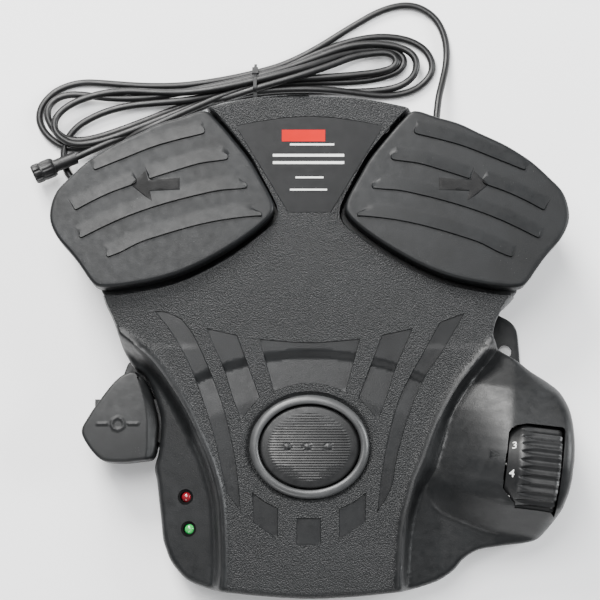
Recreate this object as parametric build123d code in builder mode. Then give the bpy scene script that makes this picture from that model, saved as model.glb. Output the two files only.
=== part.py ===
from build123d import *
import math
import os

os.makedirs("parts", exist_ok=True)

# ---------------------------------------------------------------- driving dimensions (mm)
WALL = 2.5                    # moulded wall of the top housing
BASE_Z = 1.5                  # underside of the base plate (rubber feet below it)
BASE_T = 2.0                  # base plate thickness
DECK_HEEL_Z = 34.0            # height of the deck at the heel edge
DECK_SLOPE = 0.0805           # rise of the deck per mm towards the toe
HEEL_Y = -148.0
WELL_Z = 38.0                 # floor of the two pedal wells
PEDAL_TOP_Z = 58.5
PEDAL_T = 3.0                 # pedal top thickness
PEDAL_WALL = 2.5              # pedal skirt thickness
PEDAL_TILT = 4.5              # travel of a pedal in degrees
HINGE_Z = 48.5
HINGE_MID = (-102.3, 110.75)  # middle of the left hinge pin in plan
HINGE_D = (-0.8616, -0.5078)  # direction of the left hinge pin in plan
HINGE_N = (0.5078, -0.8616)   # from the pin towards the free edge
PIN_R = 2.0
DIAL_C = (132.4, -72.0, 36.5) # centre of the speed dial
DIAL_ANG = 7.0                # dial axis turned clockwise from +X
DIAL_R = 29.5
SHAFT_R = 3.0
BTN_Y = -59.8                 # centre of the round button
BTN_A, BTN_B = 29.7, 24.7     # half axes of the button cap
BZL_A, BZL_B = 37.0, 32.3     # half axes of the bezel ring
KEY_X, KEY_Z, KEY_Y = -82.0, 21.0, -43.0   # hinge of the side key
CORD_R = 2.25                 # signal cable radius
EAR_HOLE_R = 4.0
EAR_R = (121.4, 1.5)          # right deck hole
EAR_L = (-113.5, -34.0)       # left deck hole, under the side key


def deck_z(y):
    return DECK_HEEL_Z + DECK_SLOPE * (y - HEEL_Y)


A_SLOPE = math.atan(DECK_SLOPE)
DECK_N = (0, -math.sin(A_SLOPE), math.cos(A_SLOPE))


def deck_plane(dz=0.0, y=0.0):
    return Plane(origin=(0, y, deck_z(y) + dz), x_dir=(1, 0, 0), z_dir=DECK_N)


def mir(pts):
    return [(-x, y) for x, y in reversed(pts)]


# ---------------------------------------------------------------- plan outlines (left side, mirrored where noted)
TOE = [(-62.0, 144.2), (-42.0, 148.2), (-30.0, 149.9), (-15.0, 151.0), (0, 151.4),
       (15.0, 151.0), (30.0, 149.9), (42.0, 148.2), (62.0, 144.2)]
SHOULDER_L = [(-125.2, 33.5), (-127.3, 40.5), (-131.3, 46.4), (-135.7, 52.5), (-140.7, 58.7),
              (-145.9, 64.8), (-149.3, 70.2), (-150.9, 75.2), (-150.9, 79.0), (-149.5, 85.0),
              (-147.4, 90.5), (-141.4, 96.6), (-131.2, 106.8), (-124.5, 111.2), (-115.2, 117.2),
              (-100.0, 124.4), (-89.0, 129.7), (-76.8, 133.4), (-68.0, 139.4)]
SHOULDER_R = mir(SHOULDER_L)
RIGHT = [(122.5, 33.0), (120.8, 30.8), (116.4, 23.4), (112.0, 15.4), (110.1, 7.4), (111.2, 3.8),
         (116.0, -1.1), (125.0, -7.6), (132.8, -14.2), (141.6, -20.2), (148.6, -26.2), (152.1, -32.1),
         (154.4, -38.1), (155.5, -44.0), (156.2, -55.9), (155.6, -68.0), (154.8, -73.7), (154.1, -79.6),
         (152.8, -85.5), (150.9, -91.3), (148.4, -97.2), (145.0, -103.1), (141.0, -108.9),
         (136.0, -114.2), (130.0, -116.2), (114.2, -118.2), (101.0, -120.5), (96.2, -122.9),
         (91.4, -126.5), (86.5, -132.4), (78.0, -138.3), (68.0, -142.0)]
HEEL = [(57.1, -144.8), (40.0, -147.0), (24.2, -148.4), (0, -149.4), (-24.2, -148.2), (-40.0, -146.8),
        (-55.0, -144.9)]
LEFT = [(-65.5, -141.9), (-73.3, -138.3), (-79.3, -132.4), (-83.6, -126.5), (-86.0, -120.5),
        (-87.9, -114.6), (-89.2, -102.7), (-90.6, -90.7), (-91.9, -78.7), (-93.2, -72.7),
        (-92.5, -68.0), (-91.1, -63.5), (-90.0, -54.8), (-89.5, -43.2), (-92.0, -32.6),
        (-95.8, -22.2), (-100.3, -15.2), (-106.0, -11.5), (-110.3, -4.8), (-112.8, 0.1),
        (-114.8, 7.4), (-116.6, 12.3), (-119.2, 18.5), (-122.3, 24.6), (-124.6, 30.0)]
OUTLINE = TOE + SHOULDER_R + RIGHT + HEEL + LEFT + SHOULDER_L

GAP_L = [(-124.6, 31.0), (-113.4, 31.1), (-101.5, 32.9), (-88.9, 35.3), (-76.9, 38.9), (-65.6, 43.9),
         (-53.6, 50.3), (-41.1, 57.8), (-30.3, 65.9), (-22.5, 72.4), (-19.0, 77.4), (-18.8, 82.6),
         (-20.2, 87.0), (-28.6, 102.6), (-34.1, 112.6), (-44.4, 126.0), (-53.4, 136.6)]
CREST_L = [(-52.8, -142.0), (-51.7, -132.3), (-51.8, -117.7), (-52.4, -103.0), (-53.4, -91.3),
           (-56.2, -78.9), (-60.4, -66.0), (-66.0, -54.0), (-72.5, -40.2), (-81.6, -25.3),
           (-92.5, -10.3), (-108.9, 4.8)]
CREST_R = [(105.2, -3.0), (97.2, -12.7), (89.4, -22.3), (80.2, -37.9), (73.5, -52.8), (68.0, -67.6),
           (61.9, -82.4), (59.5, -91.3), (57.0, -100.1), (55.2, -112.4), (53.9, -130.0), (53.0, -142.0)]
DECK = TOE + mir(GAP_L) + [(120.8, 30.0), (116.4, 23.4), (112.0, 15.4), (110.1, 7.4)] + CREST_R \
    + [(52.0, -145.4), (24.2, -148.4), (0, -149.4), (-24.2, -148.2), (-52.0, -145.2)] \
    + CREST_L + [(-114.8, 7.4), (-116.6, 12.3), (-119.2, 18.5), (-122.3, 24.6)] + GAP_L
WELLS = [(-62.0, 144.2), (62.0, 144.2)] + SHOULDER_R + [(122.5, 33.0), (118.0, 26.0), (-118.0, 26.0)] + SHOULDER_L

PEDAL_L = [(-62.5, 141.4), (-77.9, 137.3), (-90.4, 133.6), (-101.8, 128.1), (-117.3, 120.7),
           (-126.8, 114.9), (-134.5, 109.3), (-144.5, 99.8), (-151.0, 92.8), (-153.9, 86.5),
           (-155.3, 79.2), (-155.0, 74.0), (-152.9, 68.3), (-149.2, 62.3), (-143.8, 56.2),
           (-138.9, 50.2), (-134.6, 44.2), (-130.4, 38.2), (-126.8, 34.8), (-122.0, 34.0),
           (-112.0, 34.6), (-100.7, 36.4), (-89.0, 38.9), (-77.6, 42.4), (-65.2, 47.8),
           (-53.3, 54.3), (-40.8, 62.2), (-30.1, 70.2), (-23.6, 76.4), (-21.3, 80.6),
           (-22.0, 85.9), (-30.2, 101.7), (-35.9, 111.5), (-46.1, 124.6), (-55.6, 135.6)]

KEY = [(-105.8, -13.9), (-111.8, -15.5), (-117.7, -20.3), (-126.6, -31.8), (-133.0, -41.4),
       (-136.9, -49.8), (-132.8, -58.8), (-126.1, -66.2), (-122.4, -68.0), (-112.2, -68.6),
       (-102.1, -67.6), (-94.9, -66.2), (-92.8, -62.6), (-91.6, -54.6), (-91.2, -43.2),
       (-93.6, -33.0), (-97.3, -22.9), (-101.6, -16.5)]


def prism(points, z0, z1, inset=0.0):
    """Upright prism over a plan outline, optionally inset."""
    with BuildPart() as p:
        with BuildSketch(Plane.XY.offset(z0)):
            with BuildLine():
                Polyline(*points, close=True)
            make_face()
            if inset:
                offset(amount=-inset, kind=Kind.INTERSECTION)
        extrude(amount=z1 - z0)
    return p.part


def under(points, z0, roof, inset=0.0):
    """Prism cut off by a tilted roof plane."""
    with BuildPart() as p:
        add(prism(points, z0, 95.0, inset))
        split(bisect_by=roof, keep=Keep.BOTTOM)
    return p.part


def roof_through(p1, p2, p3, drop=0.0):
    a, b, c = Vector(*p1), Vector(*p2), Vector(*p3)
    n = (b - a).cross(c - a).normalized()
    if n.Z < 0:
        n = n * -1
    return Plane(origin=(p1[0], p1[1], p1[2] - drop), x_dir=(b - a), z_dir=n)


# ---------------------------------------------------------------- dial frame: s along the dial axis, t towards the toe
_c, _s = math.cos(math.radians(DIAL_ANG)), math.sin(math.radians(DIAL_ANG))
EX = (_c, -_s, 0)
EY = (_s, _c, 0)


def dial_pt(s, t, z):
    return (DIAL_C[0] + s * EX[0] + t * EY[0], DIAL_C[1] + s * EX[1] + t * EY[1], z)


def dial_section(s):
    """Plane across the dial axis: local x = t, local y = height."""
    return Plane(origin=dial_pt(s, 0, 0), x_dir=EY, z_dir=EX)


HUMP_FULL = [(78, 26), (46, 49), (25, 57.5), (3, 61.5), (-6, 59.5), (-31, 38), (-41, 33), (-75, 27)]
HUMP_LOW = [(62, 30), (46, 34), (25, 36), (3, 36.5), (-6, 36), (-27, 32.5), (-34, 31), (-60, 28.5)]


def hump(bottom, drop, squeeze, s_end, trim):
    full = [(t * squeeze, z - drop) for t, z in HUMP_FULL]
    low = [(t * squeeze, z - drop) for t, z in HUMP_LOW]
    full = [(full[0][0], bottom)] + full + [(full[-1][0], bottom)]
    low = [(low[0][0], bottom)] + low + [(low[-1][0], bottom)]
    with BuildPart() as p:
        with BuildSketch(dial_section(-66)):
            with BuildLine():
                Polyline(*low, close=True)
            make_face()
        with BuildSketch(dial_section(-20)):
            with BuildLine():
                Polyline(*full, close=True)
            make_face()
        loft(ruled=True)
        with BuildSketch(dial_section(-20)):
            with BuildLine():
                Polyline(*full, close=True)
            make_face()
        extrude(amount=s_end + 20)
        add(prism(OUTLINE, bottom, 90, trim), mode=Mode.INTERSECT)
    return p.part


WING_L = [(-60, -60, 35.5), (-90.6, -90.7, 28.0), (-52, -132, 30.0)]
WING_R = [(60, -92, 33.0), (100, -120, 26.5), (54, -132, 30.0)]
WING_L_PLAN = LEFT[:-6] + [(-110.0, 4.0)] + list(reversed(CREST_L)) + [(-52.0, -145.2)]
WING_R_PLAN = [(53.0, -142.0), (53.9, -130.0), (55.2, -112.4), (57.0, -100.1), (61.9, -82.4), (68.0, -67.6),
               (132.0, -90.0)] + RIGHT[22:] + [(57.1, -144.8)]
WING_L_IN = LEFT[:-6] + [(-104.0, 6.0)] + [(x + 8.0, y) for x, y in reversed(CREST_L[1:])] + [(-44.0, -145.8)]
WING_R_IN = [(45.0, -146.0)] + [(x - 8.0, y) for x, y in reversed(CREST_R[5:-1])] + [(132.0, -90.0)] + RIGHT[22:] \
    + [(57.1, -144.8)]


def housing_mass(bottom, drop, inset):
    """Outer form of the top housing, or with drop and inset its cavity."""
    squeeze = 1.0 if drop == 0 else 0.975
    with BuildPart() as p:
        add(prism(OUTLINE, bottom, 25.5 - drop, inset))
        add(prism(WELLS, bottom, WELL_Z - drop, inset))
        add(under(DECK, bottom, deck_plane(-drop), inset))
        if drop == 0:
            add(under(WING_L_PLAN, bottom, roof_through(*WING_L)))
            add(under(WING_R_PLAN, bottom, roof_through(*WING_R)))
        else:
            # the cavity runs on under the deck, so that no rib is left below the crest lines
            add(under(WING_L_IN, bottom, roof_through(*WING_L, drop), inset))
            add(under(WING_R_IN, bottom, roof_through(*WING_R, drop), inset))
        add(hump(bottom, drop * 1.25, squeeze, 34, inset))
    return p.part


# ---------------------------------------------------------------- top housing
BOSSES = [(-62, -124), (62, -124), (-104, 18), (104, 18), (-44, 132), (44, 132)]
LED_RED = (-74.3, -89.1)
LED_GRN = (-72.4, -108.1)
BTN = deck_plane(0, BTN_Y)
PLUNGER = (HINGE_MID[0] + 44.5 * HINGE_N[0] + 18 * HINGE_D[0], HINGE_MID[1] + 44.5 * HINGE_N[1] + 18 * HINGE_D[1])
SPRING = (HINGE_MID[0] + 45 * HINGE_N[0] - 10 * HINGE_D[0], HINGE_MID[1] + 45 * HINGE_N[1] - 10 * HINGE_D[1])
GLAND_X, GLAND_Y, GLAND_Z = 79.5, 132.6, 16.0

POCKETS = [
    [(-30.2, 4.3), (-0.4, 2.3), (30.2, 4.3), (21.5, -27.5), (12.0, -23.7), (-0.4, -21.9), (-12.0, -23.7), (-21.5, -27.0)],
    [(-61.9, 10.8), (-43.3, 6.7), (-29.6, -30.2), (-41.0, -44.0), (-46.3, -29.6), (-51.1, -14.2), (-58.3, 2.5)],
    [(61.9, 10.8), (43.3, 6.7), (29.0, -30.5), (41.0, -44.0), (46.3, -29.6), (51.1, -14.2), (58.3, 2.5)],
    [(-93.0, 21.0), (-85.2, 20.4), (-76.3, 16.2), (-69.6, 7.3), (-54.0, -28.4), (-48.0, -49.2), (-43.8, -69.3),
     (-40.8, -98.2), (-49.7, -86.4), (-53.3, -69.3), (-57.5, -51.6), (-64.7, -29.6), (-72.0, -10.6), (-82.8, 8.5)],
    [(93.0, 20.0), (80.3, -1.7), (67.7, -20.7), (58.7, -42.7), (52.0, -66.9), (48.4, -84.7), (40.1, -98.8),
     (43.1, -74.0), (47.3, -51.6), (54.5, -28.4), (66.0, -7.0), (78.0, 14.5)],
    [(-34.2, -86.4), (-27.1, -91.7), (-18.8, -95.9), (-18.8, -114.7), (-33.6, -104.1)],
    [(-7.8, -101.8), (6.8, -101.8), (6.8, -117.7), (-7.8, -117.7)],
    [(33.8, -86.4), (26.8, -91.7), (17.5, -96.2), (17.5, -114.7), (33.2, -104.1)],
]


def on_deck(pts, y0=0.0):
    """Plan points expressed in the tilted deck plane through y0."""
    k = 1.0 / math.cos(A_SLOPE)
    return [(x, (y - y0) * k) for x, y in pts]


def hinge_block(off, half_t, z0, z1, reach0, reach1):
    """Block across the left hinge axis, off = distance along the axis from its middle."""
    cx, cy = HINGE_MID[0] + off * HINGE_D[0], HINGE_MID[1] + off * HINGE_D[1]
    pts = []
    for a, b in ((-half_t, reach0), (half_t, reach0), (half_t, reach1), (-half_t, reach1)):
        pts.append((cx + a * HINGE_D[0] + b * HINGE_N[0], cy + a * HINGE_D[1] + b * HINGE_N[1]))
    return prism(pts, z0, z1)


def hinge_rod(r, off0, off1):
    o = (HINGE_MID[0] + off0 * HINGE_D[0], HINGE_MID[1] + off0 * HINGE_D[1], HINGE_Z)
    with BuildPart() as p:
        with BuildSketch(Plane(origin=o, z_dir=(HINGE_D[0], HINGE_D[1], 0))):
            Circle(r)
        extrude(amount=off1 - off0)
    return p.part


outer = housing_mass(BASE_Z, 0.0, 0.0)
cavity = housing_mass(BASE_Z - 1.0, WALL, WALL)

with BuildPart() as lugs_left:
    for off in (-34, 34):
        add(hinge_block(off, 3.0, WELL_Z - 1.0, HINGE_Z + 4.0, -4.5, 4.5))
    add(hinge_rod(PIN_R, -60, 60), mode=Mode.SUBTRACT)

with BuildPart() as inner_form:
    with Locations(*[(x, y, 4.6) for x, y in BOSSES]):
        Cylinder(4.5, 80, align=(Align.CENTER, Align.CENTER, Align.MIN))
    with BuildSketch(BTN.offset(-11)):
        Ellipse(BTN_A + 3.6, BTN_B + 3.6)
    extrude(amount=14)
    add(prism(OUTLINE, 4.6, 6.6))
    add(outer, mode=Mode.INTERSECT)
    with BuildSketch(Plane.XY.offset(4.0)):
        with BuildLine():
            Polyline(*OUTLINE, close=True)
        make_face()
        offset(amount=-5.5, kind=Kind.INTERSECTION)
        with Locations(*BOSSES):
            Circle(4.5, mode=Mode.SUBTRACT)
    extrude(amount=3.0, mode=Mode.SUBTRACT)
    # notches in the ledge for the posts of the base plate
    with Locations((KEY_X, -66, 3.0), (KEY_X, -22, 3.0)):
        Box(14, 7, 5, align=(Align.CENTER, Align.CENTER, Align.MIN), mode=Mode.SUBTRACT)
    with Locations(dial_pt(17.8, 0, 3.0)):
        Box(8, 24, 5, align=(Align.CENTER, Align.CENTER, Align.MIN), mode=Mode.SUBTRACT)

with BuildPart() as gland_boss:
    with BuildSketch(Plane(origin=(GLAND_X, 127.8, GLAND_Z), z_dir=(0, 1, 0))):
        Circle(9.0)
    extrude(amount=6.0)
    add(outer, mode=Mode.INTERSECT)

with BuildPart() as top_housing:
    add(outer)
    add(cavity, mode=Mode.SUBTRACT)
    add(inner_form.part)
    add(gland_boss.part)
    # deck mounting ears at floor level
    with BuildSketch(Plane.XY.offset(BASE_Z)):
        with BuildLine():
            Polyline((112.6, 14.6), (117.6, 24.2), (124.9, 20.1), (128.6, 15.1), (129.9, 5.7), (130.9, -10.5),
                     (118.0, -4.0), (112.0, 2.4), (109.5, 7.4), close=True)
        make_face()
        with Locations(EAR_R):
            Circle(EAR_HOLE_R, mode=Mode.SUBTRACT)
    extrude(amount=3.0)
    with BuildSketch(Plane.XY.offset(BASE_Z)):
        with BuildLine():
            Polyline((-110.6, -4.6), (-112.0, -6.0), (-114.6, -12.5), (-119.0, -24.0), (-121.5, -36.0),
                     (-119.0, -48.0), (-110.0, -56.0), (-89.4, -58.0), (-88.8, -43.2), (-91.2, -32.6),
                     (-95.0, -22.2), (-99.6, -14.6), (-105.4, -10.8), (-109.4, -4.8), close=True)
        make_face()
        with Locations(EAR_L):
            Circle(EAR_HOLE_R, mode=Mode.SUBTRACT)
    extrude(amount=3.0)
    # hinge lugs of both pedals on the well floors
    add(lugs_left.part)
    add(mirror(lugs_left.part, about=Plane.YZ, mode=Mode.PRIVATE))
    # plunger holes in the well floors
    with BuildSketch(Plane.XY.offset(WELL_Z - 5)):
        with Locations(PLUNGER, (-PLUNGER[0], PLUNGER[1])):
            Circle(4.5)
    extrude(amount=6, mode=Mode.SUBTRACT)
    # round button well: opening, stem hole
    with BuildSketch(BTN.offset(-9)):
        Ellipse(BTN_A + 1.2, BTN_B + 1.2)
    extrude(amount=15, mode=Mode.SUBTRACT)
    with BuildSketch(BTN.offset(-12)):
        Circle(5.3)
    extrude(amount=6, mode=Mode.SUBTRACT)
    # dial window
    with BuildSketch(dial_section(-17.9)):
        with BuildLine():
            Polyline((-30.3, 34.0), (27.4, 34.0), (27.4, 80), (-30.3, 80), close=True)
        make_face()
    extrude(amount=34.4, mode=Mode.SUBTRACT)
    # indicator holes
    with BuildSketch(Plane.XY.offset(20)):
        with Locations(LED_RED, LED_GRN):
            Circle(4.7)
    extrude(amount=25, mode=Mode.SUBTRACT)
    # slot for the arm of the side key
    with BuildSketch(Plane.XY.offset(14)):
        with Locations((-91.0, KEY_Y)):
            Rectangle(9.0, 30.0)
    extrude(amount=14, mode=Mode.SUBTRACT)
    # cable entry
    with BuildSketch(Plane(origin=(GLAND_X, 120, GLAND_Z), z_dir=(0, 1, 0))):
        Circle(5.05)
    extrude(amount=30, mode=Mode.SUBTRACT)
    with BuildSketch(Plane(origin=(GLAND_X, GLAND_Y, GLAND_Z), z_dir=(0, 1, 0))):
        Circle(8.0)
    extrude(amount=10, mode=Mode.SUBTRACT)
    # screw pilot holes
    with BuildSketch(Plane.XY.offset(4.0)):
        with Locations(*BOSSES):
            Circle(1.55)
    extrude(amount=15, mode=Mode.SUBTRACT)
    # shallow smooth panels in the grained deck
    for panel in POCKETS:
        with BuildSketch(deck_plane(-0.8)):
            with BuildLine():
                Polyline(*on_deck(panel), close=True)
            make_face()
        extrude(amount=4, mode=Mode.SUBTRACT)
    # seat of the label plate
    with BuildSketch(deck_plane(-0.4)):
        with BuildLine():
            Polyline(*on_deck([(-44.6, 132.3), (-29.8, 135.2), (-14.7, 137.4), (0, 138.2), (14.7, 137.4), (29.8, 135.2),
                               (44.6, 132.3), (12.9, 80.0), (-12.9, 80.0)]), close=True)
        make_face()
    extrude(amount=4, mode=Mode.SUBTRACT)
top_housing.part.label = "top_housing"

# ---------------------------------------------------------------- base plate with posts
with BuildPart() as base_plate:
    with BuildSketch(Plane.XY.offset(BASE_Z)):
        with BuildLine():
            Polyline(*OUTLINE, close=True)
        make_face()
        offset(amount=-2.7, kind=Kind.INTERSECTION)
        with Locations(*BOSSES):
            Circle(1.75, mode=Mode.SUBTRACT)
    extrude(amount=BASE_T)
    with Locations(*[(x, y, 3.4) for x in (-34, 34) for y in (-16, 36)]):
        Cylinder(3.0, 8.6, align=(Align.CENTER, Align.CENTER, Align.MIN))
        Cylinder(1.1, 8.6, align=(Align.CENTER, Align.CENTER, Align.MIN), mode=Mode.SUBTRACT)
    # post under the round button's switch
    with Locations((0, BTN_Y - 1.5, 3.4)):
        Box(20, 20, 12.6, align=(Align.CENTER, Align.CENTER, Align.MIN))
    # posts under the two steering switches
    with Locations((PLUNGER[0], PLUNGER[1], 3.4), (-PLUNGER[0], PLUNGER[1], 3.4)):
        Box(24, 14, 16.6, align=(Align.CENTER, Align.CENTER, Align.MIN))
    # cheeks that hold the side key's hinge pin
    for y in (-66.0, -22.0):
        with BuildSketch(Plane(origin=(KEY_X, y + 2.0, 0), x_dir=(1, 0, 0), z_dir=(0, -1, 0))):
            with BuildLine():
                Polyline((-5, 3.4), (5, 3.4), (5, KEY_Z + 4.5), (-5, KEY_Z + 4.5), close=True)
            make_face()
            with Locations((0, KEY_Z)):
                Circle(PIN_R, mode=Mode.SUBTRACT)
        extrude(amount=4)
    # post beside the side key's switch
    with Locations((-58.0, KEY_Y, 3.4)):
        Box(4, 20, 31, align=(Align.CENTER, Align.CENTER, Align.MIN))
    # posts under the indicator board
    with Locations((-73.35, -88.0, 3.4), (-73.35, -109.2, 3.4)):
        Box(6, 5, 12.6, align=(Align.CENTER, Align.CENTER, Align.MIN))
    # bearing post at the outer side of the dial
    with BuildSketch(dial_section(16.6)):
        with BuildLine():
            Polyline((-9, 3.4), (9, 3.4), (7, 43.5), (-7, 43.5), close=True)
        make_face()
        with Locations((0, DIAL_C[2])):
            Circle(5.0, mode=Mode.SUBTRACT)
    extrude(amount=2.4)
base_plate.part.label = "base_plate"

with BuildPart() as housing_gasket:
    with BuildSketch(Plane.XY.offset(3.5)):
        with BuildLine():
            Polyline(*OUTLINE, close=True)
        make_face()
        offset(amount=-2.7, kind=Kind.INTERSECTION)
    extrude(amount=1.1)
    add(prism(OUTLINE, 3.0, 6.0, 4.9), mode=Mode.SUBTRACT)
    add(base_plate.part, mode=Mode.SUBTRACT)
housing_gasket.part.label = "housing_gasket"

with BuildPart() as rubber_feet:
    with Locations((-118, 78, 0), (118, 78, 0), (-64, -108, 0), (64, -108, 0), (0, 136, 0), (132, -52, 0), (0, -132, 0)):
        Cylinder(8.0, BASE_Z, align=(Align.CENTER, Align.CENTER, Align.MIN))
rubber_feet.part.label = "rubber_feet"

with BuildPart() as housing_screws:
    with Locations(*[(x, y, 0.2) for x, y in BOSSES]):
        Cylinder(3.0, BASE_Z - 0.2, align=(Align.CENTER, Align.CENTER, Align.MIN))
    with Locations(*[(x, y, BASE_Z - 0.1) for x, y in BOSSES]):
        Cylinder(1.5, 13.0, align=(Align.CENTER, Align.CENTER, Align.MIN))
housing_screws.part.label = "housing_screws"

# ---------------------------------------------------------------- label plate and bezel
with BuildPart() as deck_label:
    with BuildSketch(deck_plane(-0.4)):
        with BuildLine():
            Polyline(*on_deck([(-44.2, 132.1), (-29.8, 134.9), (-14.7, 137.0), (0, 137.9), (14.7, 137.0),
                               (29.8, 134.9), (44.2, 132.1), (12.6, 80.3), (-12.6, 80.3)]), close=True)
        make_face()
    extrude(amount=0.5)
deck_label.part.label = "deck_label"

with BuildPart() as button_bezel:
    with BuildSketch(BTN):
        Ellipse(BZL_A, BZL_B)
    extrude(amount=3.0)
    fillet(button_bezel.edges().group_by(Axis.Z)[-1], radius=1.5)
    with BuildSketch(BTN.offset(-1)):
        Ellipse(BTN_A + 0.9, BTN_B + 0.9)
    extrude(amount=6, mode=Mode.SUBTRACT)
button_bezel.part.label = "button_bezel"

# ---------------------------------------------------------------- round momentary button
with BuildPart() as momentary_button:
    with BuildSketch(BTN.offset(-5.0)):
        Ellipse(BTN_A, BTN_B)
    extrude(amount=6.8)
    fillet(momentary_button.edges().group_by(Axis.Z)[-1], radius=1.2)
    with BuildSketch(BTN.offset(-5.0)):
        Ellipse(BTN_A - 2.2, BTN_B - 2.2)
    extrude(amount=3.6, mode=Mode.SUBTRACT)
    with BuildSketch(BTN.offset(-12.8)):
        Circle(4.9)
    extrude(amount=12.0)
    with BuildSketch(BTN.offset(-12.2)):
        Circle(6.0)
        Circle(4.0, mode=Mode.SUBTRACT)
    extrude(amount=1.0, mode=Mode.SUBTRACT)
momentary_button.part.label = "momentary_button"

with BuildPart() as button_clip:
    with BuildSketch(BTN.offset(-12.15)):
        Circle(7.2)
        Circle(4.05, mode=Mode.SUBTRACT)
    extrude(amount=0.9)
button_clip.part.label = "button_clip"


def coil(origin, z_dir, radius, wire, height, turns):
    """Compression spring as a swept helix."""
    pl = Plane(origin=origin, z_dir=z_dir)
    with BuildPart() as p:
        with BuildLine(pl):
            h = Helix(pitch=height / turns, height=height, radius=radius)
        with BuildSketch(Plane(origin=h @ 0, z_dir=h % 0)):
            Circle(wire / 2)
        sweep(path=h, is_frenet=True)
    return p.part


b0 = BTN.offset(-8.0).origin
with BuildPart() as button_spring:
    add(coil((b0.X, b0.Y, b0.Z), DECK_N, 8.0, 1.2, 5.6, 4))
button_spring.part.label = "button_spring"

with BuildPart() as left_pedal_spring:
    add(coil((SPRING[0], SPRING[1], WELL_Z + 0.9), (0, 0, 1), 6.2, 1.6, 15.6, 6))
left_pedal_spring.part.label = "left_pedal_spring"
with BuildPart() as right_pedal_spring:
    add(mirror(left_pedal_spring.part, about=Plane.YZ, mode=Mode.PRIVATE))
right_pedal_spring.part.label = "right_pedal_spring"

# ---------------------------------------------------------------- pedals
SKIRT_CUT = Plane(origin=(HINGE_MID[0], HINGE_MID[1], 39.3),
                  z_dir=(-0.0787 * HINGE_N[0], -0.0787 * HINGE_N[1], 1.0))
with BuildPart() as left_pedal:
    add(prism(PEDAL_L, 34.0, PEDAL_TOP_Z))
    add(prism(PEDAL_L, 33.0, PEDAL_TOP_Z - PEDAL_T, PEDAL_WALL), mode=Mode.SUBTRACT)
    split(bisect_by=SKIRT_CUT, keep=Keep.TOP)
    # hinge lugs
    for off in (-41.5, 41.5):
        add(hinge_block(off, 3.0, HINGE_Z - 4.5, PEDAL_TOP_Z - 1.0, -4.5, 4.5))
    add(hinge_rod(PIN_R + 0.05, -60, 60), mode=Mode.SUBTRACT)
left_pedal.part.label = "left_pedal"
with BuildPart() as right_pedal:
    add(mirror(left_pedal.part, about=Plane.YZ, mode=Mode.PRIVATE))
right_pedal.part.label = "right_pedal"

with BuildPart() as left_plunger:
    with BuildSketch(Plane.XY.offset(36.0)):
        with Locations(PLUNGER):
            Circle(2.9)
    extrude(amount=PEDAL_TOP_Z - PEDAL_T - 36.0)
left_plunger.part.label = "left_plunger"
with BuildPart() as right_plunger:
    add(mirror(left_plunger.part, about=Plane.YZ, mode=Mode.PRIVATE))
right_plunger.part.label = "right_plunger"

with BuildPart() as left_hinge_pin:
    add(hinge_rod(PIN_R, -45.5, 45.5))
left_hinge_pin.part.label = "left_hinge_pin"
with BuildPart() as right_hinge_pin:
    add(mirror(left_hinge_pin.part, about=Plane.YZ, mode=Mode.PRIVATE))
right_hinge_pin.part.label = "right_hinge_pin"


def micro_switch(x, y, z, sx, sy, sz, act):
    """Snap-action switch body with its actuator nib."""
    with BuildPart() as p:
        with Locations((x, y, z)):
            Box(sx, sy, sz, align=(Align.CENTER, Align.CENTER, Align.MIN))
        with Locations((x, y, z + sz)):
            Cylinder(1.6, act, align=(Align.CENTER, Align.CENTER, Align.MIN))
    return p.part


with BuildPart() as left_steer_switch:
    add(micro_switch(PLUNGER[0], PLUNGER[1], 20.0, 20, 10, 10.0, 1.8))
left_steer_switch.part.label = "left_steer_switch"
with BuildPart() as right_steer_switch:
    add(micro_switch(-PLUNGER[0], PLUNGER[1], 20.0, 20, 10, 10.0, 1.8))
right_steer_switch.part.label = "right_steer_switch"
with BuildPart() as momentary_switch:
    add(micro_switch(0, BTN_Y + 1.2, 16.0, 12, 12, 6.6, 1.6))
momentary_switch.part.label = "momentary_switch"
with BuildPart() as con_switch:
    with Locations((-65.0, KEY_Y, 28.0)):
        Box(10, 12, 3.6, align=(Align.CENTER, Align.CENTER, Align.MIN))
    with Locations((-67.0, KEY_Y, 26.4)):
        Cylinder(1.5, 1.6, align=(Align.CENTER, Align.CENTER, Align.MIN))
con_switch.part.label = "con_switch"

# ---------------------------------------------------------------- side key
with BuildPart() as con_key:
    add(prism(KEY, 15.0, 36.0))
    fillet(con_key.edges().group_by(Axis.Z)[-1], radius=1.5)
    add(prism(KEY, 14.0, 33.0, 2.4), mode=Mode.SUBTRACT)
    with Locations((-98.0, KEY_Y, 17.0)):
        Box(64, 26, 8, align=(Align.CENTER, Align.CENTER, Align.MIN))
    with Locations((-112.0, KEY_Y, 24.9)):
        Box(30, 3, 8.6, align=(Align.CENTER, Align.CENTER, Align.MIN))
    with BuildSketch(Plane(origin=(KEY_X, KEY_Y + 20, KEY_Z), z_dir=(0, -1, 0))):
        Circle(PIN_R + 0.05)
    extrude(amount=40, mode=Mode.SUBTRACT)
con_key.part.label = "con_key"

with BuildPart() as con_key_pin:
    with BuildSketch(Plane(origin=(KEY_X, -19.0, KEY_Z), z_dir=(0, -1, 0))):
        Circle(PIN_R)
    extrude(amount=50)
con_key_pin.part.label = "con_key_pin"

with BuildPart() as con_key_spring:
    with BuildSketch(Plane(origin=(KEY_X, -24.6, KEY_Z), z_dir=(0, -1, 0))):
        Circle(3.6)
        Circle(2.4, mode=Mode.SUBTRACT)
    extrude(amount=4.8)
con_key_spring.part.label = "con_key_spring"

# ---------------------------------------------------------------- indicators
def wing_z(x, y):
    pl = roof_through(*WING_L)
    n, o = pl.z_dir, pl.origin
    return o.Z - (n.X * (x - o.X) + n.Y * (y - o.Y)) / n.Z


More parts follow.
